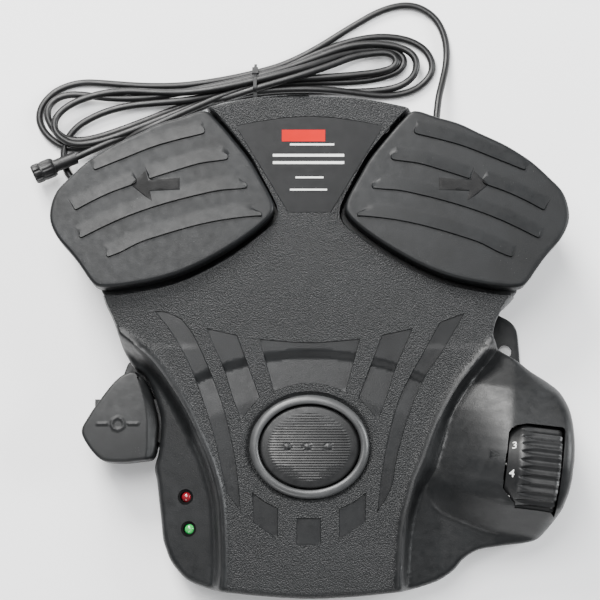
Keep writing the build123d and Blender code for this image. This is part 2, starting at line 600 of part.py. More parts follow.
def indicator(xy):
    top = wing_z(*xy) - 0.6
    with BuildPart() as p:
        with BuildSketch(Plane.XY.offset(17.6)):
            with Locations(xy):
                Circle(2.9)
        extrude(amount=top - 2.9 - 17.6)
        with Locations((xy[0], xy[1], top - 2.9)):
            Sphere(2.9, arc_size1=0)
    return p.part


with BuildPart() as red_led_lens:
    add(indicator(LED_RED))
red_led_lens.part.label = "red_led_lens"
with BuildPart() as green_led_lens:
    add(indicator(LED_GRN))
green_led_lens.part.label = "green_led_lens"
with BuildPart() as led_bezels:
    for xy in (LED_RED, LED_GRN):
        zt = wing_z(*xy)
        with BuildSketch(Plane.XY.offset(zt - 4.4)):
            with Locations(xy):
                Circle(4.6)
                Circle(3.2, mode=Mode.SUBTRACT)
        extrude(amount=4.0)
led_bezels.part.label = "led_bezels"
with BuildPart() as led_board:
    with Locations((-73.35, -98.6, 16.0)):
        Box(12, 34, 1.6, align=(Align.CENTER, Align.CENTER, Align.MIN))
led_board.part.label = "led_board"

# ---------------------------------------------------------------- main board
with BuildPart() as main_pcb:
    with BuildSketch(Plane.XY.offset(12.0)):
        with Locations((0, 10)):
            RectangleRounded(80, 64, 3)
        with Locations(*[(x, y) for x in (-34, 34) for y in (-16, 36)]):
            Circle(1.3, mode=Mode.SUBTRACT)
    extrude(amount=1.6)
main_pcb.part.label = "main_pcb"
with BuildPart() as pcb_screws:
    with Locations(*[(x, y, 13.6) for x in (-34, 34) for y in (-16, 36)]):
        Cylinder(2.2, 1.6, align=(Align.CENTER, Align.CENTER, Align.MIN))
    with Locations(*[(x, y, 7.6) for x in (-34, 34) for y in (-16, 36)]):
        Cylinder(1.05, 6.1, align=(Align.CENTER, Align.CENTER, Align.MIN))
pcb_screws.part.label = "pcb_screws"
with BuildPart() as board_header:
    with Locations((20, 36, 13.6)):
        Box(12, 8, 8, align=(Align.CENTER, Align.CENTER, Align.MIN))
board_header.part.label = "board_header"


def tube(points, r, name):
    """Cable tube: straight runs joined by the largest tangent arcs the runs allow."""
    vs = [Vector(*p) for p in points]
    radii = []
    for i in range(1, len(vs) - 1):
        a, b = vs[i] - vs[i - 1], vs[i + 1] - vs[i]
        turn = math.radians(a.get_angle(b))
        radii.append(0.45 * min(a.length, b.length) / math.tan(turn / 2))
    with BuildPart() as p:
        with BuildLine() as path:
            FilletPolyline(*[tuple(v) for v in vs], radius=radii)
        with BuildSketch(Plane(origin=vs[0], z_dir=vs[1] - vs[0])):
            Circle(r)
        sweep()
    length = sum(e.length for e in path.edges())
    print(name, "length", round(length, 1), "radii", [round(x, 1) for x in radii],
          "volume", round(p.part.volume, 1), "section x length", round(math.pi * r * r * length, 1))
    return p.part


with BuildPart() as inner_lead:
    add(tube([(79.5, 124.0, 16.0), (79.0, 112.0, 15.5), (70.0, 96.0, 15.5), (52.0, 82.0, 16.0), (36.0, 66.0, 17.0),
              (24.0, 52.0, 17.4), (20.0, 40.0, 17.6)], CORD_R, "inner_lead"))
inner_lead.part.label = "inner_lead"

# ---------------------------------------------------------------- speed dial
dial_axis_plane = Plane(origin=DIAL_C, x_dir=EX, z_dir=(EX[1], -EX[0], 0))
with BuildPart() as speed_dial:
    with BuildSketch(dial_axis_plane):
        with BuildLine():
            Polyline((-17.0, DIAL_R - 4.6), (-9.6, DIAL_R), (10.5, DIAL_R), (14.0, DIAL_R - 3.2), (14.0, DIAL_R - 6),
                     (9.0, DIAL_R - 3.6), (-8.5, DIAL_R - 3.6),
                     (-8.5, 7.0), (14.0, 7.0), (14.0, SHAFT_R), (-13.5, SHAFT_R), (-13.5, 7.0), (-12.0, 7.0),
                     (-12.0, DIAL_R - 7.0), (-17.0, DIAL_R - 7.6), close=True)
        make_face()
    revolve(axis=Axis(DIAL_C, EX))
speed_dial.part.label = "speed_dial"
with BuildPart() as dial_shaft:
    with BuildSketch(Plane(origin=dial_pt(-30, 0, DIAL_C[2]), z_dir=EX)):
        Circle(SHAFT_R)
    extrude(amount=49.2)
dial_shaft.part.label = "dial_shaft"
with BuildPart() as dial_bush:
    with BuildSketch(Plane(origin=dial_pt(16.2, 0, DIAL_C[2]), z_dir=EX)):
        Circle(5.0)
        Circle(SHAFT_R + 0.04, mode=Mode.SUBTRACT)
    extrude(amount=3.0)
dial_bush.part.label = "dial_bush"
with BuildPart() as speed_pot:
    with BuildSketch(Plane(origin=dial_pt(-36, 0, DIAL_C[2]), z_dir=EX)):
        Circle(8.0)
    extrude(amount=10)
    with BuildSketch(Plane(origin=dial_pt(-26, 0, DIAL_C[2]), z_dir=EX)):
        Circle(4.4)
    extrude(amount=6.5)
    with BuildSketch(Plane(origin=dial_pt(-30.5, 0, DIAL_C[2]), z_dir=EX)):
        Circle(SHAFT_R + 0.04)
    extrude(amount=14, mode=Mode.SUBTRACT)
speed_pot.part.label = "speed_pot"
with BuildPart() as pot_bracket:
    with BuildSketch(dial_section(-26.0)):
        with BuildLine():
            Polyline((-10, 3.5), (10, 3.5), (10, 45.0), (-10, 45.0), close=True)
        make_face()
        with Locations((0, DIAL_C[2])):
            Circle(4.45, mode=Mode.SUBTRACT)
    extrude(amount=2.0)
    with BuildSketch(dial_section(-36.0)):
        with BuildLine():
            Polyline((-10, 3.5), (10, 3.5), (10, 5.3), (-10, 5.3), close=True)
        make_face()
    extrude(amount=10.5)
pot_bracket.part.label = "pot_bracket"
with BuildPart() as pot_nut:
    with BuildSketch(Plane(origin=dial_pt(-24.0, 0, DIAL_C[2]), z_dir=EX)):
        RegularPolygon(6.5, 6)
        Circle(4.45, mode=Mode.SUBTRACT)
    extrude(amount=2.2)
pot_nut.part.label = "pot_nut"

# ---------------------------------------------------------------- cable gland in the toe side wall
with BuildPart() as cable_gland:
    with BuildSketch(Plane(origin=(GLAND_X, 124.0, GLAND_Z), z_dir=(0, 1, 0))):
        Circle(5.0)
    extrude(amount=9.0)
    with BuildSketch(Plane(origin=(GLAND_X, GLAND_Y, GLAND_Z), z_dir=(0, 1, 0))):
        RegularPolygon(7.0, 6)
    extrude(amount=3.6)
    with BuildSketch(Plane(origin=(GLAND_X, GLAND_Y + 3.6, GLAND_Z), z_dir=(0, 1, 0))):
        Circle(5.4)
    extrude(amount=9.8, taper=9)
cable_gland.part.label = "cable_gland"
with BuildPart() as gland_nut:
    with BuildSketch(Plane(origin=(GLAND_X, 124.8, GLAND_Z), z_dir=(0, 1, 0))):
        RegularPolygon(7.2, 6)
        Circle(5.0, mode=Mode.SUBTRACT)
    extrude(amount=3.0)
gland_nut.part.label = "gland_nut"

# ---------------------------------------------------------------- signal cable: lead from the gland, tied hank, lead to the connector
LEAD_OUT = [(79.5, 146.0, 16.0), (80.6, 158.5, 14.3), (84.2, 172.0, 8.6), (87.6, 187.0, 3.4), (87.0, 202.5, 2.4),
            (80.5, 216.5, 2.3), (66.0, 224.8, 2.3), (47.5, 221.5, 2.3), (27.0, 209.5, 2.3), (4.0, 194.5, 2.4)]
LEAD_PLUG = [(-63.0, 159.4, 2.5), (-76.0, 153.6, 2.3), (-91.0, 148.0, 2.6), (-106.5, 141.8, 3.9), (-121.0, 135.4, 6.2),
             (-134.0, 129.3, 8.0), (-146.0, 123.2, 9.2)]
HANK = [(-5.7, 187.2), (8.3, 194.4), (22.9, 200.3), (38.7, 203.5), (57.8, 202.2), (73.6, 193.7), (79.2, 182.0),
        (73.3, 169.0), (60.6, 162.5), (38.5, 160.9), (13.3, 160.8), (-32.9, 161.2), (-59.4, 159.4), (-75.1, 156.4),
        (-100.3, 147.4), (-125.4, 137.2), (-141.0, 129.8), (-155.4, 127.7), (-166.3, 136.7), (-172.3, 150.2),
        (-169.9, 161.2), (-160.0, 170.3), (-141.7, 174.8), (-119.6, 172.2), (-91.1, 171.6), (-69.0, 174.8),
        (-32.9, 182.0)]
HANK_MID = [(-80.0, 160.0), (-80.0, 172.0), (-33.0, 181.0), (10.0, 190.0), (50.0, 198.0), (66.0, 188.0), (66.0, 172.0),
            (40.0, 163.5), (-33.0, 162.4), (-60.0, 160.6)]
with BuildPart() as cord_lead_out:
    add(tube(LEAD_OUT, CORD_R, "cord_lead_out"))
cord_lead_out.part.label = "cord_lead_out"
# one loop of the hank dips towards the pedal, flat on the floor below the plug
HANK_DIP = [(-153.0, 131.0), (-157.5, 124.0), (-156.5, 115.0), (-151.0, 109.0), (-143.5, 106.6), (-137.0, 110.0),
            (-131.0, 119.0), (-125.0, 126.5), (-118.0, 133.0), (-118.0, 141.0), (-140.0, 134.0)]
with BuildPart() as cord_hank:
    add(prism(HANK, 0.0, 10.5))
    add(prism(HANK_MID, 5.0, 14.0))
    add(prism(HANK_DIP, 0.0, 4.7))
cord_hank.part.label = "cord_hank"
with BuildPart() as cord_lead_plug:
    add(tube(LEAD_PLUG, CORD_R, "cord_lead_plug"))
cord_lead_plug.part.label = "cord_lead_plug"
with BuildPart() as hank_tie:
    with BuildSketch(Plane(origin=(-36.0, 0, 0), x_dir=(0, 1, 0), z_dir=(1, 0, 0))):
        with BuildLine():
            Polyline((159.2, 0.0), (184.0, 0.0), (184.0, 15.6), (159.2, 15.6), close=True)
        make_face()
        with BuildLine():
            Polyline((160.8, -1.0), (182.6, -1.0), (182.6, 14.3), (160.8, 14.3), close=True)
        make_face(mode=Mode.SUBTRACT)
    extrude(amount=4.0)
hank_tie.part.label = "hank_tie"

PLUG_DIR = (-0.895, -0.421, 0.15)


def plug_pt(d):
    return (-146.0 + d * PLUG_DIR[0], 123.2 + d * PLUG_DIR[1], 9.2 + d * PLUG_DIR[2])


with BuildPart() as plug_body:
    with BuildSketch(Plane(origin=plug_pt(0), z_dir=PLUG_DIR)):
        Circle(4.0)
    extrude(amount=14.5)
    with BuildSketch(Plane(origin=plug_pt(14.5), z_dir=PLUG_DIR)):
        Circle(5.0)
    extrude(amount=8.0)
plug_body.part.label = "plug_body"
with BuildPart() as plug_nut:
    with BuildSketch(Plane(origin=plug_pt(14.5), z_dir=PLUG_DIR)):
        Circle(6.5)
        Circle(5.05, mode=Mode.SUBTRACT)
    extrude(amount=15.5)
plug_nut.part.label = "plug_nut"
with BuildPart() as plug_pins:
    with BuildSketch(Plane(origin=plug_pt(22.5), z_dir=PLUG_DIR)):
        with PolarLocations(2.4, 4):
            Circle(0.5)
    extrude(amount=5.5)
plug_pins.part.label = "plug_pins"

# ---------------------------------------------------------------- export
PIECES = [top_housing, base_plate, housing_gasket, rubber_feet, housing_screws, deck_label, button_bezel,
          momentary_button, button_clip, button_spring, left_pedal_spring, right_pedal_spring, left_pedal,
          right_pedal, left_plunger, right_plunger, left_hinge_pin, right_hinge_pin, left_steer_switch,
          right_steer_switch, momentary_switch, con_switch, con_key, con_key_pin, con_key_spring, red_led_lens,
          green_led_lens, led_bezels, led_board, main_pcb, pcb_screws, board_header, inner_lead, speed_dial,
          dial_shaft, dial_bush, speed_pot, pot_bracket, pot_nut, cable_gland, gland_nut, cord_lead_out,
          cord_hank, cord_lead_plug, hank_tie, plug_body, plug_nut, plug_pins]
for piece in PIECES:
    export_step(piece.part, "parts/" + piece.part.label + ".step")
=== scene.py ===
import bpy
import bmesh
import math
import numpy as np
from mathutils import Vector, Matrix
from mathutils.geometry import delaunay_2d_cdt


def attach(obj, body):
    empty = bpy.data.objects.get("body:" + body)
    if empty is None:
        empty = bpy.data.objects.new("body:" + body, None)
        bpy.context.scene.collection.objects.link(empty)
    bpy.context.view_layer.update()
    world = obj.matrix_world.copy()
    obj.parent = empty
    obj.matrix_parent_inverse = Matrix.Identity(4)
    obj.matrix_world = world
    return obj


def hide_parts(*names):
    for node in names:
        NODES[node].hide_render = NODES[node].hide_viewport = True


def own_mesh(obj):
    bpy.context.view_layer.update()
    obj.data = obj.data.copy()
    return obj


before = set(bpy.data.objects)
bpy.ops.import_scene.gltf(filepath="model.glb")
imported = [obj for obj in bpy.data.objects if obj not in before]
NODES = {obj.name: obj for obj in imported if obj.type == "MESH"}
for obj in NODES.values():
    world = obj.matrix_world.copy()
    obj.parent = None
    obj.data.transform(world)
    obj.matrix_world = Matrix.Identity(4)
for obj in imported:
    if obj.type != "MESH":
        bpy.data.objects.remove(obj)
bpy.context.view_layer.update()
MM = 0.001


# ------------------------------------------------------------------ camera


cam_data = bpy.data.cameras.new("camera")
cam_data.lens = 110.0
cam_data.sensor_width = 36.0
cam = bpy.data.objects.new("camera", cam_data)
bpy.context.scene.collection.objects.link(cam)
TH = math.radians(8.0)
TGT = Vector((-0.0057, 0.028, 0.045))
cam_rot = Matrix(((1, 0, 0), (0, math.cos(TH), -math.sin(TH)), (0, math.sin(TH), math.cos(TH))))
cam.matrix_world = Matrix.Translation(TGT + cam_rot @ Vector((0, 0, 1.1))) @ cam_rot.to_4x4()
cam_data.clip_start = 0.01
cam_data.clip_end = 20
bpy.context.scene.camera = cam


# ------------------------------------------------------------------ materials
def mat(name, base, rough, metal=0.0, spec=0.5, coat=0.0, coat_rough=0.1, trans=0.0, ior=1.5, emit=None, emit_s=0.0):
    m = bpy.data.materials.new(name)
    m.use_nodes = True
    nt = m.node_tree
    b = next(n for n in nt.nodes if n.type == "BSDF_PRINCIPLED")
    b.inputs["Base Color"].default_value = (*base, 1)
    b.inputs["Roughness"].default_value = rough
    b.inputs["Metallic"].default_value = metal
    b.inputs["Specular IOR Level"].default_value = spec
    b.inputs["Coat Weight"].default_value = coat
    b.inputs["Coat Roughness"].default_value = coat_rough
    b.inputs["Transmission Weight"].default_value = trans
    b.inputs["IOR"].default_value = ior
    if emit:
        b.inputs["Emission Color"].default_value = (*emit, 1)
        b.inputs["Emission Strength"].default_value = emit_s
    return m, nt, b


def coords(nt):
    tc = nt.nodes.new("ShaderNodeTexCoord")
    return tc.outputs["Object"]


def noise(nt, vec, scale, detail=3.0, rough=0.5, dist=0.0):
    n = nt.nodes.new("ShaderNodeTexNoise")
    n.inputs["Scale"].default_value = scale
    n.inputs["Detail"].default_value = detail
    n.inputs["Roughness"].default_value = rough
    n.inputs["Distortion"].default_value = dist
    nt.links.new(vec, n.inputs["Vector"])
    return n.outputs["Fac"]


def voro(nt, vec, scale, feature="F1", rnd=1.0):
    n = nt.nodes.new("ShaderNodeTexVoronoi")
    n.feature = feature
    n.inputs["Scale"].default_value = scale
    n.inputs["Randomness"].default_value = rnd
    nt.links.new(vec, n.inputs["Vector"])
    return n.outputs["Distance"]


def ramp(nt, fac, stops):
    r = nt.nodes.new("ShaderNodeValToRGB")
    el = r.color_ramp.elements
    el[0].position, el[0].color = stops[0][0], (*stops[0][1], 1)
    el[1].position, el[1].color = stops[-1][0], (*stops[-1][1], 1)
    for p, c in stops[1:-1]:
        e = el.new(p)
        e.color = (*c, 1)
    nt.links.new(fac, r.inputs["Fac"])
    return r.outputs["Color"]


def maprange(nt, fac, a, b, c, d):
    m = nt.nodes.new("ShaderNodeMapRange")
    m.inputs["From Min"].default_value = a
    m.inputs["From Max"].default_value = b
    m.inputs["To Min"].default_value = c
    m.inputs["To Max"].default_value = d
    nt.links.new(fac, m.inputs["Value"])
    return m.outputs["Result"]


def math2(nt, op, a, b):
    m = nt.nodes.new("ShaderNodeMath")
    m.operation = op
    for i, v in enumerate((a, b)):
        if isinstance(v, (int, float)):
            m.inputs[i].default_value = v
        else:
            nt.links.new(v, m.inputs[i])
    return m.outputs[0]


def bump(nt, h, strength, dist, prev=None):
    b = nt.nodes.new("ShaderNodeBump")
    b.inputs["Strength"].default_value = strength
    b.inputs["Distance"].default_value = dist
    nt.links.new(h, b.inputs["Height"])
    if prev is not None:
        nt.links.new(prev, b.inputs["Normal"])
    return b.outputs["Normal"]


def mix(nt, a, b, fac):
    m = nt.nodes.new("ShaderNodeMix")
    m.data_type = "RGBA"
    for s, v in ((0, fac), (6, a), (7, b)):
        if isinstance(v, (int, float)):
            m.inputs[s].default_value = v
        elif isinstance(v, tuple):
            m.inputs[s].default_value = (*v, 1)
        else:
            nt.links.new(v, m.inputs[s])
    return m.outputs[2]


def plastic(name, base, rough, fine=0.00012, fine_scale=2600.0, spec=0.45, wear=0.25, mottle=0.35, scuffs=0.0, dust=0.0):
    """Moulded black plastic: fine tool texture, faint handling marks and slow changes of tone."""
    m, nt, b = mat(name, base, rough, spec=spec)
    v = coords(nt)
    n1 = noise(nt, v, fine_scale, 2.0, 0.6)
    n2 = noise(nt, v, 34.0, 4.0, 0.6, 0.3)
    n3 = noise(nt, v, 210.0, 5.0, 0.65)
    dark = tuple(c * (1 - mottle) for c in base)
    lite = tuple(min(1, c * (1 + mottle)) for c in base)
    c = ramp(nt, n2, [(0.32, dark), (0.5, base), (0.7, lite)])
    if dust > 0:
        sp = voro(nt, v, 620.0)
        msk = maprange(nt, sp, 0.05, 0.10, 1.0, 0.0)
        pick = maprange(nt, noise(nt, v, 47.0, 3.0, 0.7), 0.56, 0.66, 0.0, dust)
        c = mix(nt, c, (0.42, 0.42, 0.41), math2(nt, "MULTIPLY", msk, pick))
    if scuffs > 0:
        mp = nt.nodes.new("ShaderNodeMapping")
        mp.inputs["Scale"].default_value = (1.0, 14.0, 1.0)
        mp.inputs["Rotation"].default_value = (0, 0, 0.6)
        nt.links.new(v, mp.inputs["Vector"])
        sc = noise(nt, mp.outputs["Vector"], 90.0, 6.0, 0.75)
        c = mix(nt, c, (0.16, 0.16, 0.16), maprange(nt, sc, 0.66, 0.74, 0.0, scuffs))
    nt.links.new(c, b.inputs["Base Color"])
    r = maprange(nt, n3, 0.3, 0.7, rough - 0.06 * (1 + wear), rough + 0.06 * (1 + wear))
    nt.links.new(r, b.inputs["Roughness"])
    nb = bump(nt, n1, 0.55, fine)
    nt.links.new(bump(nt, n3, 0.25, 0.00006, nb), b.inputs["Normal"])
    return m


def leather(name, base, rough, cell=1500.0, depth=0.00022):
    """Grained deck plastic: small rounded pebbles with creases between them, with painted shade in the creases and a
    painted highlight on the pebble tops.
    """
    m, nt, b = mat(name, base, rough, spec=0.36)
    v = coords(nt)
    warp = nt.nodes.new("ShaderNodeTexNoise")
    warp.inputs["Scale"].default_value = 420.0
    warp.inputs["Detail"].default_value = 2.0
    nt.links.new(v, warp.inputs["Vector"])
    va = nt.nodes.new("ShaderNodeVectorMath")
    va.operation = "MULTIPLY_ADD"
    va.inputs[1].default_value = (0.0006, 0.0006, 0.0006)
    nt.links.new(warp.outputs["Color"], va.inputs[0])
    nt.links.new(v, va.inputs[2])
    w = va.outputs["Vector"]
    d = voro(nt, w, cell, "SMOOTH_F1")
    h = maprange(nt, d, 0.1, 0.75, 1.0, 0.0)
    n2 = noise(nt, v, 30.0, 4.0, 0.6, 0.3)
    # painted shade and highlight: colour darkened in the creases and lightened on the pebble tops
    crease_shade_and_top_highlight = ramp(nt, h, [(0.1, tuple(c * 0.55 for c in base)), (0.6, base), (1.0, tuple(min(1, c * 1.35) for c in base))])
    tone = maprange(nt, n2, 0.3, 0.7, 0.85, 1.18)
    vm = nt.nodes.new("ShaderNodeVectorMath")
    vm.operation = "SCALE"
    nt.links.new(crease_shade_and_top_highlight, vm.inputs[0])
    nt.links.new(tone, vm.inputs["Scale"])
    nt.links.new(vm.outputs["Vector"], b.inputs["Base Color"])
    nt.links.new(maprange(nt, h, 0.0, 1.0, rough + 0.12, rough - 0.06), b.inputs["Roughness"])
    nb = bump(nt, h, 0.8, depth)
    nt.links.new(bump(nt, noise(nt, v, 4200.0, 2.0, 0.5), 0.3, 0.00004, nb), b.inputs["Normal"])
    return m


def metal(name, base, rough, brushed=0.0):
    m, nt, b = mat(name, base, rough, metal=1.0)
    v = coords(nt)
    n = noise(nt, v, 900.0, 4.0, 0.6)
    n2 = noise(nt, v, 60.0, 4.0, 0.6)
    nt.links.new(ramp(nt, n2, [(0.3, tuple(c * 0.8 for c in base)), (0.7, base)]), b.inputs["Base Color"])
    nt.links.new(maprange(nt, n, 0.3, 0.7, rough - 0.08, rough + 0.1), b.inputs["Roughness"])
    nt.links.new(bump(nt, n, 0.2, 0.00003), b.inputs["Normal"])
    return m


M_GRAIN = leather("deck_grain", (0.0080, 0.0086, 0.0092), 0.46, depth=0.00040)
M_SATIN = plastic("housing_satin", (0.0068, 0.0073, 0.0078), 0.42, fine=0.00014, fine_scale=1700.0, spec=0.36, dust=0.4)
M_PEDAL = plastic("pedal_moulding", (0.0062, 0.0068, 0.0074), 0.46, fine=0.00010, fine_scale=1700.0, spec=0.27, scuffs=0.12, dust=0.35)
M_ARROW = plastic("arrow_texture", (0.0030, 0.0030, 0.0032), 0.62, spec=0.25, fine=0.0003, fine_scale=1500.0, mottle=0.7)
M_TRIM = plastic("trim_satin", (0.045, 0.046, 0.047), 0.40, spec=0.7, fine=0.00004)
M_BUTTON = plastic("button_cap", (0.0060, 0.0062, 0.0066), 0.46, fine=0.00004)
M_DIAL = plastic("dial_plastic", (0.0070, 0.0072, 0.0076), 0.43, fine=0.00003, mottle=0.2)
M_KEY = plastic("key_satin", (0.0075, 0.0080, 0.0084), 0.46, spec=0.33, fine=0.00006, dust=0.3)
M_LABEL = plastic("label_film", (0.0060, 0.0063, 0.0068), 0.45, spec=0.22, fine=0.00002, mottle=0.15)
M_RED = plastic("print_red", (0.50, 0.006, 0.005), 0.6, spec=0.1, fine=0.00001, mottle=0.1)
M_WHITE = plastic("print_white", (0.80, 0.80, 0.78), 0.6, spec=0.2, fine=0.00001, mottle=0.06)
M_BASE = plastic("base_plastic", (0.009, 0.009, 0.0095), 0.5, fine=0.0001)
M_RUB = plastic("foot_rubber", (0.007, 0.007, 0.007), 0.75, fine=0.00015)
# LED bezels: black plastic made darker and duller than the other plastics, painted shade for the recess round each lens
M_BEZEL_SHADE = plastic("led_bezel_painted_shade", (0.002, 0.002, 0.002), 0.8, fine=0.00008, spec=0.1)
M_STEEL = metal("steel", (0.62, 0.62, 0.60), 0.3)
M_BRASS = metal("brass", (0.70, 0.52, 0.25), 0.3)
M_POT = metal("pot_metal", (0.55, 0.54, 0.5), 0.42)
M_SW = plastic("switch_plastic", (0.008, 0.008, 0.008), 0.5)
M_PCB = plastic("board_green", (0.015, 0.09, 0.035), 0.4, mottle=0.2)
M_CABLE = plastic("cable_jacket", (0.0050, 0.0050, 0.0053), 0.42, fine=0.00005, fine_scale=1800.0, mottle=0.3, dust=0.25)
M_PLUG = plastic("plug_plastic", (0.0035, 0.0035, 0.004), 0.45, fine=0.00006)
M_REDL, _nt, _b = mat("red_lens", (0.16, 0.004, 0.008), 0.12, spec=0.6, coat=0.5, coat_rough=0.05, emit=(0.9, 0.02, 0.05), emit_s=0.03)
_n = noise(_nt, coords(_nt), 300.0, 3.0)
_nt.links.new(ramp(_nt, _n, [(0.3, (0.10, 0.003, 0.006)), (0.7, (0.22, 0.010, 0.018))]), _b.inputs["Base Color"])
M_GRNL, _nt, _b = mat("green_lens", (0.02, 0.30, 0.06), 0.15, spec=0.6, coat=0.5, coat_rough=0.05, emit=(0.05, 0.9, 0.18), emit_s=0.12)
_n = noise(_nt, coords(_nt), 300.0, 3.0)
_nt.links.new(ramp(_nt, _n, [(0.3, (0.01, 0.22, 0.04)), (0.7, (0.05, 0.42, 0.10))]), _b.inputs["Base Color"])


# ------------------------------------------------------------------ small geometry kit (millimetres in, metres out)
def arr(p):
    return np.array(p, float)


def corner_split(p, closed, limit):
    n = len(p)
    idx = []
    for i in range(n):
        if not closed and i in (0, n - 1):
            idx.append(i)
            continue
        a, b = p[i] - p[i - 1], p[(i + 1) % n] - p[i]
        c = np.dot(a, b) / (np.linalg.norm(a) * np.linalg.norm(b) + 1e-12)
        if math.degrees(math.acos(max(-1, min(1, c)))) > limit:
            idx.append(i)
    return idx


def smooth_line(pts, step=2.0, closed=True, limit=42.0):
    """Smooth curve through the points, kept sharp where the line turns by more than limit degrees."""
    p = arr(pts)
    n = len(p)
    sharp = set(corner_split(p, closed, limit))
    out = []
    segs = n if closed else n - 1
    for i in range(segs):
        p1, p2 = p[i], p[(i + 1) % n]
        j = (i + 1) % n
        p0 = p1 - (p2 - p1) if i in sharp else p[(i - 1) % n]
        p3 = p2 + (p2 - p1) if j in sharp else p[(i + 2) % n]
        k = max(1, int(math.ceil(np.linalg.norm(p2 - p1) / step)))
        t0 = 0.0
        t1 = t0 + max(1e-6, np.linalg.norm(p1 - p0)) ** 0.5
        t2 = t1 + max(1e-6, np.linalg.norm(p2 - p1)) ** 0.5
        t3 = t2 + max(1e-6, np.linalg.norm(p3 - p2)) ** 0.5
        for q in range(k):
            t = t1 + (t2 - t1) * q / k
            a1 = (t1 - t) / (t1 - t0) * p0 + (t - t0) / (t1 - t0) * p1
            a2 = (t2 - t) / (t2 - t1) * p1 + (t - t1) / (t2 - t1) * p2
            a3 = (t3 - t) / (t3 - t2) * p2 + (t - t2) / (t3 - t2) * p3
            b1 = (t2 - t) / (t2 - t0) * a1 + (t - t0) / (t2 - t0) * a2
            b2 = (t3 - t) / (t3 - t1) * a2 + (t - t1) / (t3 - t1) * a3
            out.append((t2 - t) / (t2 - t1) * b1 + (t - t1) / (t2 - t1) * b2)
    if not closed:
        out.append(p[-1])
    return np.array(out)


def inside(q, poly):
    x, y = q[:, 0][:, None], q[:, 1][:, None]
    a, b = poly, np.roll(poly, -1, axis=0)
    cond = (a[:, 1][None] > y) != (b[:, 1][None] > y)
    den = (b[:, 1] - a[:, 1])[None]
    den = np.where(np.abs(den) < 1e-12, 1e-12, den)
    xi = (b[:, 0] - a[:, 0])[None] * (y - a[:, 1][None]) / den + a[:, 0][None]
    return (np.sum(cond & (x < xi), axis=1) % 2) == 1


def dist_line(q, line, closed=True):
    """Distance to a polyline, and for each point the signed side and the share of arc length."""
    a = line
    b = np.roll(line, -1, axis=0) if closed else line[1:]
    if not closed:
        a = line[:-1]
    best = np.full(len(q), 1e9)
    side = np.zeros(len(q))
    arc = np.zeros(len(q))
    ln = np.linalg.norm(b - a, axis=1)
    cum = np.concatenate(([0], np.cumsum(ln)))[:-1]
    for i in range(len(a)):
        d = b[i] - a[i]
        L2 = max(1e-12, np.dot(d, d))
        t = np.clip(((q - a[i]) @ d) / L2, 0, 1)
        v = q - (a[i] + t[:, None] * d)
        dd = np.hypot(v[:, 0], v[:, 1])
        m = dd < best - 1e-9
        best[m] = dd[m]
        side[m] = (d[0] * v[m, 1] - d[1] * v[m, 0])
        arc[m] = cum[i] + t[m] * ln[i]
    return best, np.sign(side), arc, float(ln.sum())


def ring_in(line, d):
    """The closed line moved inwards by d."""
    nx = np.roll(line, -1, axis=0) - np.roll(line, 1, axis=0)
    nx /= np.maximum(1e-9, np.linalg.norm(nx, axis=1))[:, None]
    area = 0.5 * np.sum(line[:, 0] * np.roll(line[:, 1], -1) - np.roll(line[:, 0], -1) * line[:, 1])
    s = 1.0 if area > 0 else -1.0
    nrm = np.stack((-nx[:, 1], nx[:, 0]), axis=1) * s
    return line + nrm * d


def sstep(a, b, x):
    t = np.clip((x - a) / (b - a), 0, 1)
    return t * t * (3 - 2 * t)


def new_mesh(name, verts, faces, mats=None, fmat=None, smooth=38.0):
    me = bpy.data.meshes.new(name)
    me.from_pydata([tuple(v) for v in verts], [], [tuple(f) for f in faces])
    me.validate()
    ob = bpy.data.objects.new(name, me)
    bpy.context.scene.collection.objects.link(ob)
    for m in mats or []:
        me.materials.append(m)
    if fmat is not None:
        me.polygons.foreach_set("material_index", np.array(fmat, dtype=np.int32))
    finish_mesh(ob, smooth)
    return ob


def finish_mesh(ob, angle=38.0):
    me = ob.data
    me.polygons.foreach_set("use_smooth", np.ones(len(me.polygons), dtype=bool))
    me.set_sharp_from_angle(angle=math.radians(angle))
    me.update()


